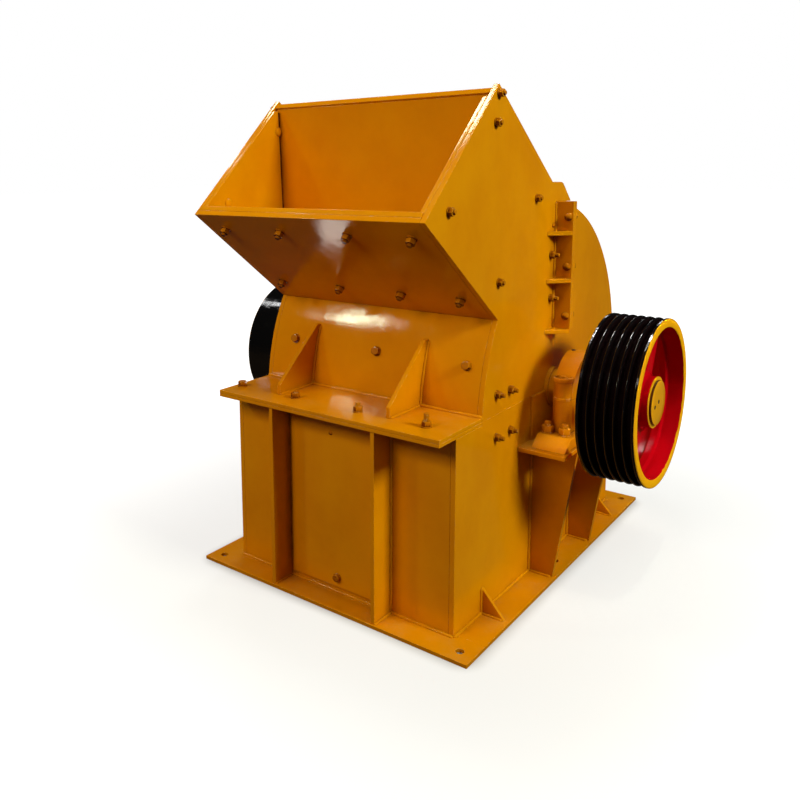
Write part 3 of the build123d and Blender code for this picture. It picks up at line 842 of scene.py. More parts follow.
class Fasteners(PieceMaker):
    """Studs, nuts, washers and heads that are collected into one piece.

    In its methods, place is the point on the face that the fastener stands on, and direction is
    the way that the face looks.
    """

    washer_thick = 2.5
    washer_sunk = 0.5
    stud_columns = 18

    def __init__(self, name: str, seed: int) -> None:
        """Start an empty set of fasteners.

        Args:
            name: the piece's name.
            seed: fixes how each nut happens to be turned.
        """
        super().__init__(name)
        self.chance = np.random.default_rng(seed)

    def washer(self, place: Triple, direction: Triple, size: BoltSize) -> None:
        """Add a flat washer with a rounded rim, sunk a little into the face."""
        r, thick = size.washer / 2, self.washer_thick
        profile = [(-self.washer_sunk, r), (thick - self.washer_sunk, r), (thick, r - 0.6),
                   (thick, size.thread / 2)]
        self.add_rings(turned_rings(place, direction, profile, 30))

    def hexagon(self, place: Triple, direction: Triple, size: BoltSize, height: float,
                chamfer_foot: bool = True) -> None:
        """Add a nut or a bolt head with its chamfered corners.

        Args:
            place: the middle of its foot.
            direction: the way that it points.
            size: its thread size.
            height: its height.
            chamfer_foot: whether its foot is chamfered, too, as a nut's is.
        """
        corner, flat = size.corner, size.flats / 2
        foot = [(0.0, corner)]
        if chamfer_foot:
            foot = [(0.0, flat - 0.6), (0.3, flat - 0.2), (corner * 0.11, corner)]
        top = [(height - corner * 0.13, corner), (height - 0.4, flat + 0.2), (height, flat - 1.2)]
        spin = self.chance.uniform(0, 60)
        profile = foot + top + [(height, size.thread / 2)]
        self.add_rings(turned_rings(place, direction, profile, 36, size.flats, spin))

    def stud(self, place: Triple, direction: Triple, size: BoltSize, length: float) -> None:
        """Add a threaded end whose radius follows a helix.

        r(h, a) = r0 - depth * |2 frac(h / pitch - a / 2 pi) - 1|, tapered at the tip.

        Args:
            place: the middle of its foot.
            direction: the way that it points.
            size: its thread size.
            length: its length.
        """
        e1, e2, along = frame_of(direction)
        rows = max(6, int(length / size.pitch * 4))
        height = np.linspace(0.0, length, rows)
        angle = np.linspace(0.0, 2.0 * math.pi, self.stud_columns, endpoint=False)
        phase = np.mod(height[:, None] / size.pitch - angle[None, :] / (2.0 * math.pi), 1.0)
        radius = size.thread / 2 - 0.55 * size.pitch * np.abs(2.0 * phase - 1.0)
        radius = np.minimum(radius, (size.thread / 2 - 1.2 + (length - height))[:, None])
        around = np.cos(angle)[:, None] * e1 + np.sin(angle)[:, None] * e2
        middle = np.asarray(place, float) + height[:, None, None] * along
        self.add_rings(middle + radius[:, :, None] * around)

    def bolt(self, place: Triple, direction: Triple, size: BoltSize) -> None:
        """Add a washer with a hexagon head on it."""
        out = np.asarray(direction, float)
        self.washer(place, out, size)
        foot = np.asarray(place, float) + out * self.washer_thick
        self.hexagon(foot, out, size, size.nut * 0.72, chamfer_foot=False)

    def stud_and_nut(self, place: Triple, direction: Triple, size: BoltSize, proud: float) -> None:
        """Add a washer, a nut and a stud.

        Args:
            place: the point on the face.
            direction: the way that the face looks.
            size: the thread size.
            proud: how far the stud stands out of the nut.
        """
        out = np.asarray(direction, float)
        foot = np.asarray(place, float)
        self.washer(foot, out, size)
        self.hexagon(foot + out * self.washer_thick, out, size, size.nut)
        self.stud(foot + out * size.nut * 0.6, out, size, size.nut * 0.4 + self.washer_thick + proud)

    def dome(self, place: Triple, direction: Triple, radius: float, height: float) -> None:
        """Add a round button head: r(t) = R cos(t) and h(t) = H sin(t)."""
        t = np.linspace(0.0, math.radians(86.0), 9)
        profile = [(-0.5, radius)] + [(height * math.sin(a), radius * math.cos(a)) for a in t]
        self.add_rings(turned_rings(place, direction, profile, 24))


class Welds(PieceMaker):
    """Fillet weld beads that are collected into one piece."""

    ripple_pitch = 4.2

    def __init__(self, name: str, seed: int) -> None:
        """Start an empty set of beads.

        Args:
            name: the piece's name.
            seed: fixes the wander of the beads.
        """
        super().__init__(name)
        self.chance = np.random.default_rng(seed)

    def bead(self, path: list[Triple], first: Triple, second: Triple, leg: float = 6.0) -> None:
        """Carry a rippled fillet along a path in the corner between two faces.

        With s along the path and f from 0 to 90 degrees, the bead is
        p = c(s) + leg k(s, f) (cos f n1 + sin f n2), where c is the corner, n1 and n2 are the
        two faces' normals, and k adds crescent ripples, a slow wander and rounded ends.

        Args:
            path: the points of the corner line.
            first: the way that the first plate faces.
            second: the way that the second plate faces.
            leg: the width of the bead on each plate.
        """
        points = np.asarray(path, float)
        spans = np.linalg.norm(np.diff(points, axis=0), axis=1)
        length = spans.sum()
        rows = max(8, int(length / 1.5))
        s = np.linspace(0.0, length, rows)
        reach = np.concatenate([[0.0], np.cumsum(spans)])
        centre = np.stack([np.interp(s, reach, points[:, k]) for k in range(3)], axis=1)
        n1 = np.broadcast_to(np.asarray(first, float), centre.shape)
        n2 = np.broadcast_to(np.asarray(second, float), centre.shape)
        f = np.linspace(-14.0, 104.0, 9)
        lean = 1.0 - ((f - 45.0) / 59.0) ** 2
        ripple = np.abs(np.sin(math.pi * (s[:, None] + 2.2 * lean) / self.ripple_pitch))
        a, b, c = self.chance.uniform(0, 6.28, 3)
        wander = 0.09 * np.sin(s / 17.0 + a) + 0.06 * np.sin(s / 7.1 + b) + 0.05 * np.sin(s / 41.0 + c)
        near_end = np.minimum(s, length - s) / leg
        ends = np.sqrt(np.clip(1.0 - (1.0 - np.clip(near_end, 0.0, 1.0)) ** 2, 0.02, 1.0))
        size = leg * ends[:, None] * (0.86 + wander[:, None] + (0.09 * ripple + 0.10) * lean)
        cos, sin = np.cos(np.radians(f))[:, None], np.sin(np.radians(f))[:, None]
        around = cos * n1[:, None, :] + sin * n2[:, None, :]
        skin = centre[:, None, :] + size[:, :, None] * around
        root = centre - 0.22 * leg * (n1 + n2)
        self.add_rings(np.concatenate([skin, root[:, None, :]], axis=1))


def dress_node(name: str, material: bpy.types.Material, edge: float = 1.1) -> None:
    """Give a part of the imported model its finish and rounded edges.

    Args:
        name: the node's name.
        material: its finish.
        edge: the radius of its edges in millimetres.
    """
    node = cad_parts[name]
    if not node.material_slots:
        node.data.materials.append(material)
    for slot in node.material_slots:
        slot.material = material
    weld = node.modifiers.new("merged", "WELD")
    weld.merge_threshold = 0.00002
    flat = node.modifiers.new("flat_faces", "DECIMATE")
    flat.decimate_type = "DISSOLVE"
    flat.angle_limit = math.radians(0.6)
    rounded = node.modifiers.new("rounded", "BEVEL")
    rounded.limit_method = "ANGLE"
    rounded.angle_limit = math.radians(38.0)
    rounded.width = edge * MM
    rounded.segments = 2
    shade = node.modifiers.new("shaded", "WEIGHTED_NORMAL")
    shade.weight = 80


@dataclass
class BaseFrame:
    """The flanged base, its ribs, gussets and the plates of the lower body."""

    half_width: float = 300.0
    front: float = -440.0
    rear: float = 440.0
    top: float = 8.0
    split: float = 440.0
    rib_inner: float = 135.0
    rib_outer: float = 145.0
    rib_toe: float = -502.0
    rib_top: float = 432.0
    gusset_rows: Pair = (-318.0, 339.0)
    gusset_toe: Pair = (352.0, 66.0)
    gusset_plate: float = 8.0
    web_rows: Pair = (-78.0, 155.0)
    web_toe: Pair = (357.0, 326.0)
    web_plate: float = 10.0
    inspection_face: float = -448.0
    plates: tuple[str, ...] = ("base_front_flange", "base_rear_flange", "base_side_flanges", "base_gussets",
                               "front_ribs", "lower_front_plate", "lower_rear_plate", "lower_sides",
                               "inspection_plate")

    def build(self, finishes: Finishes) -> None:
        """Dress the plates and add their welds and bolts.

        Args:
            finishes: the machine's finishes.
        """
        for name in self.plates:
            dress_node(name, finishes.orange)
        self._welds().finish(finishes.weld, "orange_paint", sharp=60.0)
        self._bolts().finish(finishes.bolt, "orange_paint")

    def _welds(self) -> Welds:
        """Lay the beads of the lower body.

        Returns:
            The beads.
        """
        welds = Welds("lower_body_welds", 11)
        up, front, top = Axis.UP.value, Axis.FRONT.value, self.top
        for side in (-1, 1):
            x, rib, out = side * self.half_width, side * self.rib_outer, (side, 0, 0)
            corner = (x, self.front, top)
            welds.bead([corner, (x, self.rear, top)], out, up, 5.0)
            welds.bead([corner, (rib, self.front, top)], front, up, 5.0)
            for edge, face in ((self.rib_outer, side), (self.rib_inner, -side)):
                toe = (side * edge, self.rib_toe, top)
                welds.bead([(side * edge, self.front, top), toe], (face, 0, 0), up, 4.0)
            welds.bead([(rib, self.front, top), (rib, self.front, self.rib_top)], out, front, 4.0)
            for rows, plate, (toe_x, toe_z), leg in (
                    (self.gusset_rows, self.gusset_plate, self.gusset_toe, 4.0),
                    (self.web_rows, self.web_plate, self.web_toe, 4.5)):
                for row in rows:
                    for face in (-1, 1):
                        y = row + plate / 2 * face
                        welds.bead([(x, y, top), (side * toe_x, y, top)], (0, face, 0), up, leg)
                        welds.bead([(x, y, top), (x, y, toe_z)], (0, face, 0), out, leg)
        for half, y, facing in ((self.rib_inner, self.front, front),
                                (self.half_width, self.rear, Axis.REAR.value)):
            welds.bead([(-half, y, top), (half, y, top)], facing, up, 5.0)
        return welds

    def _bolts(self) -> Fasteners:
        """Place the inspection plate's bolt and the round head near its top.

        Returns:
            The fasteners.
        """
        bolts = Fasteners("inspection_plate_bolts", 12)
        bolts.bolt((6.0, self.inspection_face, 48.0), Axis.FRONT.value, M10)
        bolts.dome((-10.0, self.inspection_face, 385.0), Axis.FRONT.value, 5.0, 3.0)
        return bolts


@dataclass
class Hopper:
    """The feed hopper's plates, its liner buttons and the studs through its floor."""

    lip: Pair = (-565.0, 867.0)
    throat: Pair = (-270.0, 645.5)
    back_top: Pair = (-296.0, 1112.0)
    back_bottom: Pair = (-284.0, 843.0)
    liner_face: float = 278.0
    seam_gap: float = 5.0
    shade_face: float = 280.5
    shade_back: float = 287.9
    stud_rows: tuple[tuple[float, tuple[float, ...]], ...] = ((0.15, (-245.0, -83.0, 95.0, 246.0)),
                                                             (0.78, (-242.0, -66.0, 102.0, 248.0)))
    buttons: tuple[Pair, ...] = ((-479.0, 889.0), (-301.0, 1054.0), (-330.0, 800.0))
    plates: tuple[str, ...] = ("hopper_back_plate", "hopper_floor_liner", "hopper_floor_plate",
                               "hopper_roof_plate", "hopper_side_liners")

    def build(self, finishes: Finishes) -> None:
        """Dress the plates, and add the floor's studs, the liners' buttons and a dark strip of painted shade
        in each seam.

        Args:
            finishes: the machine's finishes.
        """
        for name in self.plates:
            dress_node(name, finishes.orange)
        bolts = Fasteners("hopper_bolts", 21)
        along = np.array([0.0, self.throat[0] - self.lip[0], self.throat[1] - self.lip[1]])
        out = np.array([0.0, along[2], -along[1]]) / np.linalg.norm(along)
        for share, columns in self.stud_rows:
            for x in columns:
                bolts.stud_and_nut(np.array([x, *self.lip]) + along * share, out, M12, 5.0)
        bolts.finish(finishes.bolt, "orange_paint")
        buttons = Fasteners("liner_buttons", 22)
        for side in (-1, 1):
            for y, z in self.buttons:
                buttons.dome((side * self.liner_face, y, z), (-side, 0, 0), 11.0, 5.0)
        buttons.finish(finishes.orange, "orange_paint")
        # Painted shade: a dark strip fills each seam between the side liners and the back plate.
        self._seam_shade().finish(finishes.hole, "orange_paint")

    def _seam_shade(self) -> PieceMaker:
        """Fill the seam between each side liner and the back plate with a dark strip of painted shade.

        Its face wanders: x(z) = x0 + 0.8 sin(z / 23) + 0.5 sin(z / 7).

        Returns:
            Both seams' dark strips.
        """
        shade_strip = PieceMaker("liner_seam_shade")
        z = np.linspace(self.back_bottom[1] + 4.0, 1100.0, 60)
        lean = (self.back_top[0] - self.back_bottom[0]) / (self.back_top[1] - self.back_bottom[1])
        far = self.back_bottom[0] + lean * (z - self.back_bottom[1]) - 0.05
        near = far - self.seam_gap + 0.1
        for side in (-1, 1):
            face = self.shade_face + 0.8 * np.sin(z / 23.0 + side) + 0.5 * np.sin(z / 7.0)
            shut = np.full_like(z, self.shade_back)
            corners = ((face, near), (shut, near), (shut, far), (face, far))
            shade_strip.add_rings(np.stack([np.stack([side * x, y, z], axis=-1) for x, y in corners], axis=1))
        return shade_strip


@dataclass
class Casing:
    """The upper casing's sides, front plate, hood, shelf and rear cover."""

    half_width: float = 300.0
    shelf_top: float = 448.0
    foot: float = -332.0
    throat: Pair = (-270.0, 645.5)
    split: float = 440.0
    front_bow: float = 12.0
    shelf_gussets: Pair = (-160.0, 144.0)
    gusset_plate: float = 10.0
    gusset_toe: float = -448.0
    gusset_top: float = 588.0
    flange_faces: tuple[Pair, Pair] = ((15.0, -1.0), (35.0, 1.0))
    flange_span: Pair = (585.0, 881.0)
    flange_stud_x: float = 331.0
    flange_studs: tuple[float, ...] = (847.0, 731.0, 615.0)
    front_bolt_z: float = 549.0
    shelf_studs: tuple[Pair, ...] = ((-278.0, 1.0), (-110.0, 3.0), (66.0, 8.0), (237.0, 16.0))
    rear_stud_y: float = 462.0
    flange_bottom: float = 432.0
    short_studs: tuple[Pair, ...] = ((-285.0, 1110.0), (-296.0, 1052.0), (-480.0, 883.0), (-93.0, 894.0),
                                     (-271.0, 726.0))
    long_studs: tuple[Pair, ...] = ((-6.0, 760.0), (-4.0, 658.0), (-269.0, 485.0), (-206.0, 482.0),
                                    (-269.0, 390.0), (-201.0, 389.0))
    plates: tuple[str, ...] = ("casing_front_plate", "casing_hood_plate", "cover_shell", "cover_sides",
                               "front_sides", "rear_flange_lower", "rear_flange_upper", "shelf_gussets",
                               "shelf_plate_lower", "shelf_plate_upper", "upright_flange_front",
                               "upright_flange_gussets", "upright_flange_rear")

    def build(self, finishes: Finishes) -> None:
        """Dress the plates and add the welds and the studs.

        Args:
            finishes: the machine's finishes.
        """
        for name in self.plates:
            dress_node(name, finishes.orange)
        self._welds().finish(finishes.weld, "orange_paint", sharp=60.0)
        for side, label in SIDES:
            self._side_studs(side, label).finish(finishes.bolt, "orange_paint")
        self._front_bolts().finish(finishes.bolt, "orange_paint")

    def front_at(self, z: float) -> tuple[float, np.ndarray]:
        """Find where the bowed front plate lies at a height.

        The plate is an arc through its foot and the throat, bowed out by front_bow from the chord.

        Args:
            z: the height.

        Returns:
            The plate's y there, and the way that it faces.
        """
        foot = np.array([self.foot, self.split])
        throat = np.array(self.throat)
        chord = throat - foot
        half = np.linalg.norm(chord) / 2
        radius = (half ** 2 + self.front_bow ** 2) / (2 * self.front_bow)
        inward = np.array([chord[1], -chord[0]]) / (2 * half)
        centre = (foot + throat) / 2 + inward * (radius - self.front_bow)
        y = centre[0] - math.sqrt(radius ** 2 - (z - centre[1]) ** 2)
        facing = np.array([y - centre[0], z - centre[1]]) / radius
        return y, np.array([0.0, facing[0], facing[1]])

    def _welds(self) -> Welds:
        """Lay the beads of the upper casing.

        Returns:
            The beads.
        """
        welds = Welds("casing_welds", 31)
        w, z = self.half_width, self.shelf_top
        foot_y, _ = self.front_at(z)
        up = Axis.UP.value
        welds.bead([(-w, foot_y, z), (w, foot_y, z)], Axis.FRONT.value, up, 5.5)
        heights = np.linspace(z, self.gusset_top, 12)
        for centre in self.shelf_gussets:
            for face in (-1, 1):
                x = centre + self.gusset_plate / 2 * face
                welds.bead([(x, foot_y, z), (x, self.gusset_toe, z)], (face, 0, 0), up, 4.5)
                climb = [(x, self.front_at(h)[0], h) for h in heights]
                welds.bead(climb, (face, 0, 0), Axis.FRONT.value, 4.5)
        for side in (-1, 1):
            for y, face in self.flange_faces:
                seam = [(side * w, y, height) for height in self.flange_span]
                welds.bead(seam, (side, 0, 0), (0, face, 0), 4.5)
        return welds

    def _side_studs(self, side: int, label: str) -> Fasteners:
        """Place the studs of one side plate, and the heads and nuts of its upright flange.

        Args:
            side: 1 for the right side and -1 for the left.
            label: the side's name.

        Returns:
            The side's fasteners.
        """
        studs = Fasteners(f"side_studs_{label}", 40 + side)
        out, x = (side, 0, 0), side * self.half_width
        for row, proud in ((self.short_studs, 4.0), (self.long_studs, 10.0)):
            for y, z in row:
                studs.stud_and_nut((x, y, z), out, M10, proud)
        studs.dome((x, 3.0, 828.0), out, 6.0, 4.0)
        (front, _), (rear, _) = self.flange_faces
        for z in self.flange_studs:
            studs.dome((side * self.flange_stud_x, front, z), Axis.FRONT.value, 9.5, 7.0)
            studs.stud_and_nut((side * self.flange_stud_x, rear, z), Axis.REAR.value, M12, 6.0)
        return studs

    def _front_bolts(self) -> Fasteners:
        """Place the bolts of the casing front, the shelf and the rear flange.

        Returns:
            The fasteners.
        """
        bolts = Fasteners("casing_front_bolts", 45)
        y, facing = self.front_at(self.front_bolt_z)
        for x in (-222.0, 20.0, 252.0):
            bolts.bolt((x, y, self.front_bolt_z), facing, M12)
        for x, proud in self.shelf_studs:
            bolts.stud_and_nut((x, -449.0, self.shelf_top), Axis.UP.value, M12, proud)
        for x in (-270.0, -90.0, 90.0, 270.0):
            bolts.stud_and_nut((x, self.rear_stud_y, self.shelf_top), Axis.UP.value, M12, 8.0)
            bolts.bolt((x, self.rear_stud_y, self.flange_bottom), Axis.DOWN.value, M12)
        return bolts


@dataclass
class BearingPedestals:
    """The brackets, webs and pillow blocks on both sides."""

    housing_mid: float = 365.0
    housing_r: float = 94.0
    boss_top: float = 486.0
    boss_reach: float = 92.0
    foot_top: float = 362.0
    foot_studs: Pair = (342.0, 382.0)
    foot_stud_reach: float = 117.0
    oil_hole: Pair = (352.0, -3.0)
    collar: tuple[Pair, ...] = ((-8.0, 17.0), (-6.6, 20.2), (-5.0, 22.0), (-2.0, 22.6), (2.2, 22.8),
                                (4.2, 22.0), (5.0, 20.2), (4.4, 18.2), (2.0, 17.0), (-1.0, 16.8))
    waist: tuple[Pair, ...] = ((-50.0, 17.5), (-49.2, 18.9), (-47.6, 19.3), (-46.6, 18.6), (-45.4, 18.6),
                               (-44.4, 19.3), (-42.8, 18.9), (-42.0, 17.5))
    hole_lip: tuple[Pair, ...] = ((-1.0, 5.0), (1.3, 5.0), (1.7, 4.4), (1.3, 3.6), (0.7, 3.0))
    plates: tuple[str, ...] = ("bearing_brackets", "bracket_webs", "side_pads", "shaft_seals")
    castings: tuple[str, ...] = ("bearing_feet", "bearing_housings", "bearing_caps")

    def build(self, finishes: Finishes) -> None:
        """Dress the brackets and bearings, and add their bolts, and oil holes drawn as dark lips and discs of
        painted shade.

        Args:
            finishes: the machine's finishes.
        """
        for name in self.plates:
            dress_node(name, finishes.orange)
        for name in self.castings:
            dress_node(name, finishes.casting, 2.6)
        for side, label in SIDES:
            bolts = Fasteners(f"bearing_bolts_{label}", 60 + side)
            for x in self.foot_studs:
                for y in (-self.foot_stud_reach, self.foot_stud_reach):
                    bolts.stud_and_nut((side * x, SHAFT_Y + y, self.foot_top), Axis.UP.value, M16, 9.0)
            for y in (-self.boss_reach, self.boss_reach):
                self._boss_cup(bolts, (side * self.housing_mid, SHAFT_Y + y, self.boss_top))
            bolts.finish(finishes.casting, "orange_paint")
            hole = PieceMaker(f"oil_hole_{label}")
            x, y = self.oil_hole
            top = (side * x, SHAFT_Y + y, SHAFT_Z + self.housing_r - 0.4)
            # The oil hole is a dark lip whose flat top is a dark disc: painted shade where the hole goes down.
            hole.add_rings(turned_rings(top, Axis.UP.value, self.hole_lip, 24))
            hole.finish(finishes.hole, "orange_paint")

    def _boss_cup(self, bolts: Fasteners, place: Point) -> None:
        """Raise the collar on a bolt boss, with the bolt's head sunk in it, and the band round its waist.

        The collar's wall is a closed section turned round the boss: out to the flare, over the
        rounded lip, and down the inside.

        Args:
            bolts: the piece that they go into.
            place: the middle of the boss's top.
        """
        bolts.add_loop(turned_rings(place, Axis.UP.value, self.collar, 36))
        bolts.hexagon(np.asarray(place) + (0.0, 0.0, -0.5), Axis.UP.value, M12, 4.0)
        bolts.stud(np.asarray(place) + (0.0, 0.0, 2.0), Axis.UP.value, M12, 4.5)
        bolts.add_loop(turned_rings(place, Axis.UP.value, self.waist, 36))


@dataclass
class WheelRim:
    """A wheel's rim, turned from its profile: belt grooves or a plain face, and rounded edges."""

    name: str
    node: str
    side: int
    back: float
    face: float
    outer: float = 190.0
    inner: float = 170.0
    grooves: int = 0
    pitch: float = 19.0
    depth: float = 14.0
    top_width: float = 16.0
    bottom_width: float = 8.0
    ledge: float = 7.0
    ledge_setback: float = 48.0
    ledge_width: float = 20.0
    ledge_slope: float = 3.0
    soft: float = 2.0
    columns: int = 144

    def profile(self) -> np.ndarray:
        """Work out the closed outline of the rim's section.

        The belt face is R less the deepest groove at each x, where a groove's depth is
        D clamp((w1 / 2 - |x - c|) / ((w1 - w2) / 2), 0, 1), smoothed over 2 mm. The edges are
        quarter circles. A ledge runs round the inside where the arms meet it: its height is
        L clamp((w / 2 - |x - c|) / 3 mm + 0.5, 0, 1), smoothed likewise.

        Returns:
            Rows of x and radius.
        """
        soft = self.soft
        x = np.arange(self.back + soft, self.face - soft + 0.1, 0.8)
        cut = np.zeros_like(x)
        middle = (self.back + self.face) / 2
        for k in range(self.grooves):
            centre = middle + (k - (self.grooves - 1) / 2) * self.pitch
            slope = (self.top_width / 2 - np.abs(x - centre)) / ((self.top_width - self.bottom_width) / 2)
            cut = np.maximum(cut, self.depth * np.clip(slope, 0.0, 1.0))
        kernel = np.hanning(5) / np.hanning(5).sum()
        cut = np.convolve(np.pad(cut, 2, mode="edge"), kernel, mode="valid")
        belt = np.stack([x, self.outer - cut], axis=1)
        turn = np.linspace(0.0, 90.0, 4)
        centres = ((self.face - soft, self.outer - soft), (self.face - soft, self.inner + soft),
                   (self.back + soft, self.inner + soft), (self.back + soft, self.outer - soft))
        corners = []
        for quarter, (centre_x, centre_r) in enumerate(centres):
            angle = np.radians(turn + 90.0 * quarter)
            arc = [centre_x + soft * np.sin(angle), centre_r + soft * np.cos(angle)]
            corners.append(np.stack(arc, axis=1))
        front_edge, inner_front, inner_back, back_edge = corners
        wall = np.linspace(self.face - soft, self.back + soft, 110)[1:-1]
        ledge_x = self.face - self.ledge_setback
        rise = (self.ledge_width / 2 - np.abs(wall - ledge_x)) / self.ledge_slope + 0.5
        rise = np.convolve(np.pad(np.clip(rise, 0.0, 1.0), 2, mode="edge"), kernel, mode="valid")
        inside = np.stack([wall, self.inner - self.ledge * rise], axis=1)
        return np.concatenate([belt[1:-1], front_edge, inner_front, inside, inner_back, back_edge])

    def build(self, material: bpy.types.Material) -> None:
        """Turn the profile about the shaft, with the slight wander of a cast and brushed rim.

        p(t, a) = (x(t), y0 + r cos a, z0 + r sin a), with r = r(t) on the inside, and
        r = r(t) - 0.25 + 0.22 sin(3 a + x / 40) sin(7 a) elsewhere.

        Args:
            material: the wheel's finish.
        """
        section = self.profile()
        angle = np.linspace(0.0, 2.0 * math.pi, self.columns, endpoint=False)
        x, radius = section[:, 0][:, None], section[:, 1][:, None]
        wander = 0.22 * np.sin(3.0 * angle + x / 40.0) * np.sin(7.0 * angle) - 0.25
        radius = radius + wander * np.where(radius > self.inner + 1.0, 1.0, 0.0)
        rings = np.stack([self.side * np.broadcast_to(x, radius.shape), SHAFT_Y + radius * np.cos(angle),
                          SHAFT_Z + radius * np.sin(angle)], axis=-1)
        maker = PieceMaker(self.name)
        maker.add_loop(rings)
        piece = maker.finish(material, "black_enamel", Body.ROTOR, sharp=50.0)
        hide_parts(self.node)


@dataclass
class Wheels:
    """The drive pulley, the flywheel and the rotor between them, with the grate under it."""

    hub_faces: Pair = (542.0, 519.0)
    arm_faces: Pair = (518.0, 495.0)
    root_reach: float = 12.0
    root_r: float = 57.6
    keeper_depth: float = 10.5
    keeper_face: float = 5.5
    keeper: tuple[Pair, ...] = ((0.0, 30.0), (8.0, 30.0), (8.2, 50.0), (14.6, 51.0), (15.6, 50.6),
                                (16.0, 49.6), (16.0, 30.0))
    keeper_holes: tuple[Pair, ...] = ((2.0, 2.0), (-24.0, -5.0))
    hole_lip: tuple[Pair, ...] = ((-0.5, 4.6), (0.3, 4.6), (0.5, 4.0), (0.2, 3.2), (0.05, 2.4))
    steel: tuple[str, ...] = ("rotor_shaft", "hammer_pins")
    rolled: tuple[str, ...] = ("rotor_discs", "rotor_spacers", "grate_bars", "grate_rails")
    rims: tuple[WheelRim, ...] = (
        WheelRim("drive_pulley_belt_rim", "drive_pulley_rim", 1, 430.0, 556.0, grooves=6),
        WheelRim("flywheel_plain_rim", "flywheel_rim", -1, 418.0, 533.0),
    )

    def build(self, finishes: Finishes) -> None:
        """Turn the rims, dress the rotating parts and finish the hubs.

        Args:
            finishes: the machine's finishes.
        """
        paints = (finishes.pulley, finishes.flywheel)
        for rim, paint in zip(self.rims, paints):
            rim.build(paint)
        for name, paint in zip(("drive_pulley_arms", "flywheel_arms"), paints):
            dress_node(name, paint, 2.5)
        for name in self.steel:
            dress_node(name, finishes.turned)
        for name in self.rolled:
            dress_node(name, finishes.raw)
        dress_node("hammers", finishes.cast)
        for (side, label), arm_face, paint in zip(SIDES, self.arm_faces, paints):
            root = self._hub_root(side, arm_face, label)
            root.finish(paint, "black_enamel", Body.ROTOR, sharp=50.0)
        self._shaft_ends(finishes)

    def _hub_root(self, side: int, arm_face: float, label: str) -> PieceMaker:
        """Cast the fillet where the arms run into the hub: a ring whose section is a hollow quarter round.

        Args:
            side: 1 for the right side and -1 for the left.
            arm_face: how far out along the shaft the arms' face lies.
            label: the side's name.

        Returns:
            The ring.
        """
        root = PieceMaker(f"hub_root_{label}")
        reach, foot = self.root_reach, self.root_r + self.root_reach
        turn = np.radians(np.linspace(90.0, 0.0, 7))
        curve = [(reach - reach * math.sin(a), foot - reach * math.cos(a)) for a in turn]
        profile = [(-4.0, 57.0), (-4.0, foot), *curve, (reach, 57.0)]
        root.add_loop(turned_rings((side * arm_face, SHAFT_Y, SHAFT_Z), (side, 0, 0), profile, 96))
        return root

    def _shaft_ends(self, finishes: Finishes) -> None:
        """Put the keeper plate on each hub, with its centre hole and the hole beside it drawn as dark lips and
        discs of painted shade.

        Args:
            finishes: the machine's finishes.
        """
        for (side, label), hub in zip(SIDES, self.hub_faces):
            plate = PieceMaker(f"hub_keeper_plate_{label}")
            out = (side, 0, 0)
            foot = (side * (hub - self.keeper_depth), SHAFT_Y, SHAFT_Z)
            plate.add_rings(turned_rings(foot, out, self.keeper, 72))
            plate.finish(finishes.keeper, "orange_paint", Body.ROTOR)
            holes = PieceMaker(f"keeper_holes_{label}")
            for y, z in self.keeper_holes:
                place = (side * (hub + self.keeper_face), SHAFT_Y + y, SHAFT_Z + z)
                # Each hole is a dark lip whose flat top is a dark disc: painted shade where the hole goes in.
                holes.add_rings(turned_rings(place, out, self.hole_lip, 24))
            holes.finish(finishes.hole, "orange_paint", Body.ROTOR)


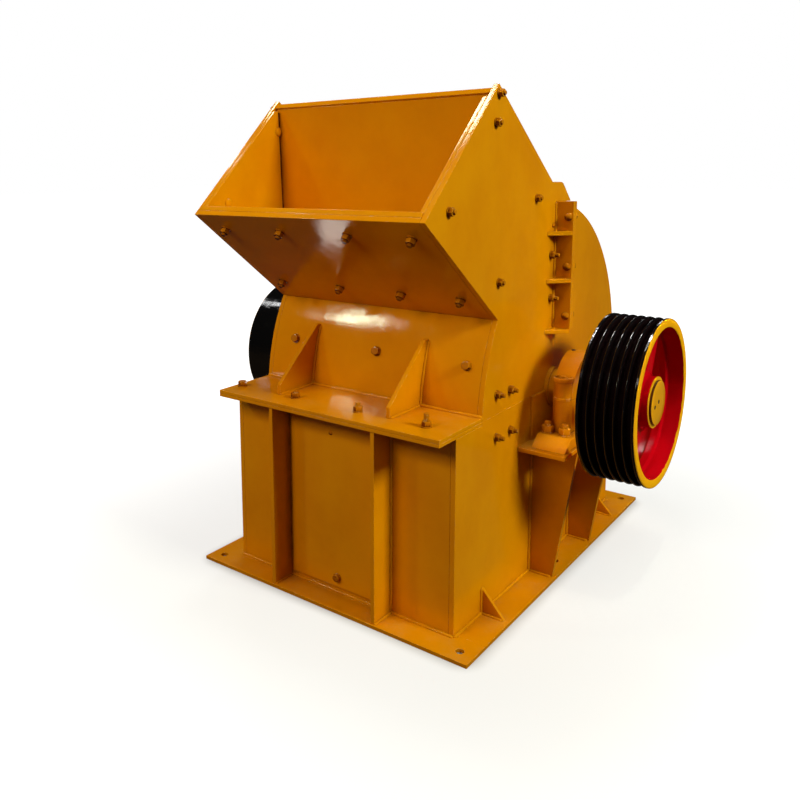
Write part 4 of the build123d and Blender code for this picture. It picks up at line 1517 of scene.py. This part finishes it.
@dataclass(frozen=True)
class Studio:
    """The floor, the lamps, the surroundings and the camera of the picture."""

    camera_place: Point = (1.0506, -1.7915, 0.9672)
    yaw: float = 0.6833445
    pitch: float = 0.1509104
    roll: float = -0.0127279
    lens: float = 36.0945
    shift: Pair = (0.10367, -0.13803)
    floor_half: float = 30.0
    shadow_half: Pair = (0.33, 0.47)
    soft_light: float = 0.10
    soft_tint: Point = (1.0, 0.90, 0.76)
    mirrored: float = 0.018
    floor_seen: float = 0.34
    floor_bounce: Point = (0.06, 0.035, 0.014)

    def build(self) -> None:
        """Put up the studio."""
        self._camera()
        self._floor()
        self._world()
        self._lamp("key", (4.9, -0.15, 3.55), (0.3, 0.0, 0.6), (1.15, 1.15), 248.0,
                   (0.95, 1.0, 0.80), glare=False)
        self._lamp("front_high", (-0.5, -3.0, 2.3), (0.1, -0.45, 0.5), (1.2, 1.0), 40.0,
                   (1.0, 0.80, 0.56), glare=False)
        self._lamp("front_window", (-1.92, -2.38, 2.18), (0.0, -0.3, 0.6), (0.21, 0.34), 11.0,
                   (0.84, 1.0, 0.70))
        self._lamp("long_window", (-0.82, -0.13, 2.33), (-0.58, -0.13, 1.36), (0.18, 0.95), 13.0,
                   (0.90, 1.0, 0.72), lights=False)
        self._lamp("bearing_fill", (0.80, -0.40, 2.60), (0.37, 0.0, 0.45), (0.3, 0.3), 0.25, (1.0, 1.0, 0.80),
                   glare=False, spread=16.0)
        self._lamp("rim_glint_high", (0.09, 0.45, 2.44), (0.60, 0.45, 0.60), (0.30, 0.55), 44.0, lights=False)
        self._lamp("left_glint", (-1.80, -0.25, 2.00), (-0.48, -0.08, 0.58), (0.12, 0.6), 4.5, lights=False)
        self._lamp("shelf_glint", (-0.243, -0.388, 0.4535), (-0.243, -0.388, 1.4), (0.113, 0.10), 0.11,
                   (1.0, 0.95, 0.85), lights=False)
        self._lamp("upper_window", (-0.585, -2.7, 2.66), (0.2, -0.2, 0.6), (0.35, 0.2), 2.8)
        self._lamp("skylight", (-0.42, -0.1, 3.05), (0.0, -0.1, 0.6), (0.4, 0.2), 11.0)
        self._lamp("rear_window", (-0.56, 2.98, 2.2), (0.0, 0.0, 0.6), (0.5, 0.3), 3.8)
        self._lamp("rear_fill", (-2.6, 3.0, 2.4), (0.0, 0.0, 0.6), (2.2, 1.8), 60.0, glare=False)
        scene = bpy.context.scene
        scene.view_settings.view_transform = "Standard"

    def _camera(self) -> None:
        """Stand the camera at the picture's angle, from its turn, tilt and roll."""
        flat_forward = Vector((-math.sin(self.yaw), math.cos(self.yaw), 0.0))
        flat_right = Vector((math.cos(self.yaw), math.sin(self.yaw), 0.0))
        up = Vector((0.0, 0.0, 1.0))
        forward = math.cos(self.pitch) * flat_forward - math.sin(self.pitch) * up
        tilted = math.sin(self.pitch) * flat_forward + math.cos(self.pitch) * up
        right = math.cos(self.roll) * flat_right + math.sin(self.roll) * tilted
        tilted = -math.sin(self.roll) * flat_right + math.cos(self.roll) * tilted
        data = bpy.data.cameras.new("picture_camera")
        data.sensor_width = 36.0
        data.lens = self.lens
        data.shift_x, data.shift_y = self.shift
        data.clip_start = 0.05
        camera = bpy.data.objects.new("picture_camera", data)
        turn = Matrix((right, tilted, -forward)).transposed()
        camera.matrix_world = Matrix.Translation(Vector(self.camera_place)) @ turn.to_4x4()
        bpy.context.scene.collection.objects.link(camera)
        bpy.context.scene.camera = camera

    def _seen(self, nodes: Nodes) -> bpy.types.NodeSocket:
        """Weigh the kinds of rays.

        Args:
            nodes: the tree that asks.

        Returns:
            1 for the rays of the camera and of glass, a share for reflections, and 0 for the rest.
        """
        path = nodes.add("ShaderNodeLightPath")
        seen = nodes.math("MULTIPLY_ADD", path.outputs["Is Glossy Ray"], self.mirrored,
                          path.outputs["Is Camera Ray"], clamp=True)
        return nodes.math("ADD", seen, path.outputs["Is Transmission Ray"], clamp=True)

    def _floor(self) -> None:
        """Lay a pale floor that shows white further out and keeps the shadow near the machine."""
        half = self.floor_half
        mesh = bpy.data.meshes.new("studio_floor")
        corners = [(-half, -half, 0), (half, -half, 0), (half, half, 0), (-half, half, 0)]
        mesh.from_pydata(corners, [], [(0, 1, 2, 3)])
        floor = bpy.data.objects.new("studio_floor", mesh)
        bpy.context.scene.collection.objects.link(floor)
        material, nodes, shader, place = start_material("studio_floor")
        seen = nodes.add("ShaderNodeLightPath").outputs["Is Camera Ray"]
        nodes.feed(shader.inputs["Base Color"], nodes.mix(seen, self.floor_bounce, (self.floor_seen,) * 3))
        shader.inputs["Roughness"].default_value = 0.95
        shader.inputs["Specular IOR Level"].default_value = 0.0
        past = []
        for name, half_side in zip("XY", self.shadow_half):
            along = nodes.math("ABSOLUTE", nodes.axis(place, name))
            past.append(nodes.math("MAXIMUM", nodes.math("SUBTRACT", along, half_side), 0.0))
        away = nodes.length(*past)
        near, far = nodes.ramp(away, 0.0, 0.07, 0.0, 0.66), nodes.ramp(away, 0.05, 1.1, 0.0, 0.34)
        glow = nodes.math("ADD", near, far)
        shader.inputs["Emission Color"].default_value = (1.0, 1.0, 1.0, 1.0)
        nodes.feed(shader.inputs["Emission Strength"], nodes.math("MULTIPLY", self._seen(nodes), glow))
        mesh.materials.append(material)

    def _world(self) -> None:
        """Surround the machine with even light: white to the camera, and a small share in reflections."""
        world = bpy.data.worlds.new("studio")
        bpy.context.scene.world = world
        world.use_nodes = True
        nodes = Nodes(world.node_tree)
        background = world.node_tree.nodes["Background"]
        path = nodes.add("ShaderNodeLightPath")
        soft = tuple(self.soft_light * part for part in self.soft_tint)
        light = nodes.mix(path.outputs["Is Glossy Ray"], soft, (self.mirrored,) * 3)
        shown = nodes.math("ADD", path.outputs["Is Camera Ray"], path.outputs["Is Transmission Ray"],
                           clamp=True)
        nodes.feed(background.inputs["Color"], nodes.mix(shown, light, (1.0, 1.0, 1.0)))
        background.inputs["Strength"].default_value = 1.0

    @staticmethod
    def _lamp(name: str, place: Point, target: Point, size: Pair, power: float,
              colour: Point = (1.0, 1.0, 1.0), glare: bool = True, lights: bool = True,
              spread: float = 180.0) -> None:
        """Hang one soft lamp.

        Args:
            name: the lamp's name.
            place: where it hangs, in metres.
            target: what it is aimed at.
            size: its width and height.
            power: its power in watts.
            colour: its tint.
            glare: whether it shows in reflections.
            lights: whether it lights the paint, too, or only shows in its gloss.
            spread: the width of its beam in degrees.
        """
        data = bpy.data.lights.new(name, "AREA")
        data.shape = "RECTANGLE"
        data.size, data.size_y = size
        data.energy = power
        data.color = colour
        data.spread = math.radians(spread)
        lamp = bpy.data.objects.new(name, data)
        aim = (Vector(target) - Vector(place)).to_track_quat("-Z", "Y")
        lamp.visible_glossy = glare
        lamp.visible_diffuse = lights
        lamp.visible_camera = False
        lamp.matrix_world = Matrix.Translation(Vector(place)) @ aim.to_matrix().to_4x4()
        bpy.context.scene.collection.objects.link(lamp)


def main() -> None:
    """Build the studio and every sub-assembly in order, and note the sizes."""
    logging.basicConfig(level=logging.INFO, format="%(name)s: %(message)s")
    Studio().build()
    finishes = Finishes()
    for assembly in (BaseFrame(), Hopper(), Casing(), BearingPedestals(), Wheels()):
        assembly.build(finishes)
        log.info("%s done", type(assembly).__name__)


if __name__ == "__main__":
    main()
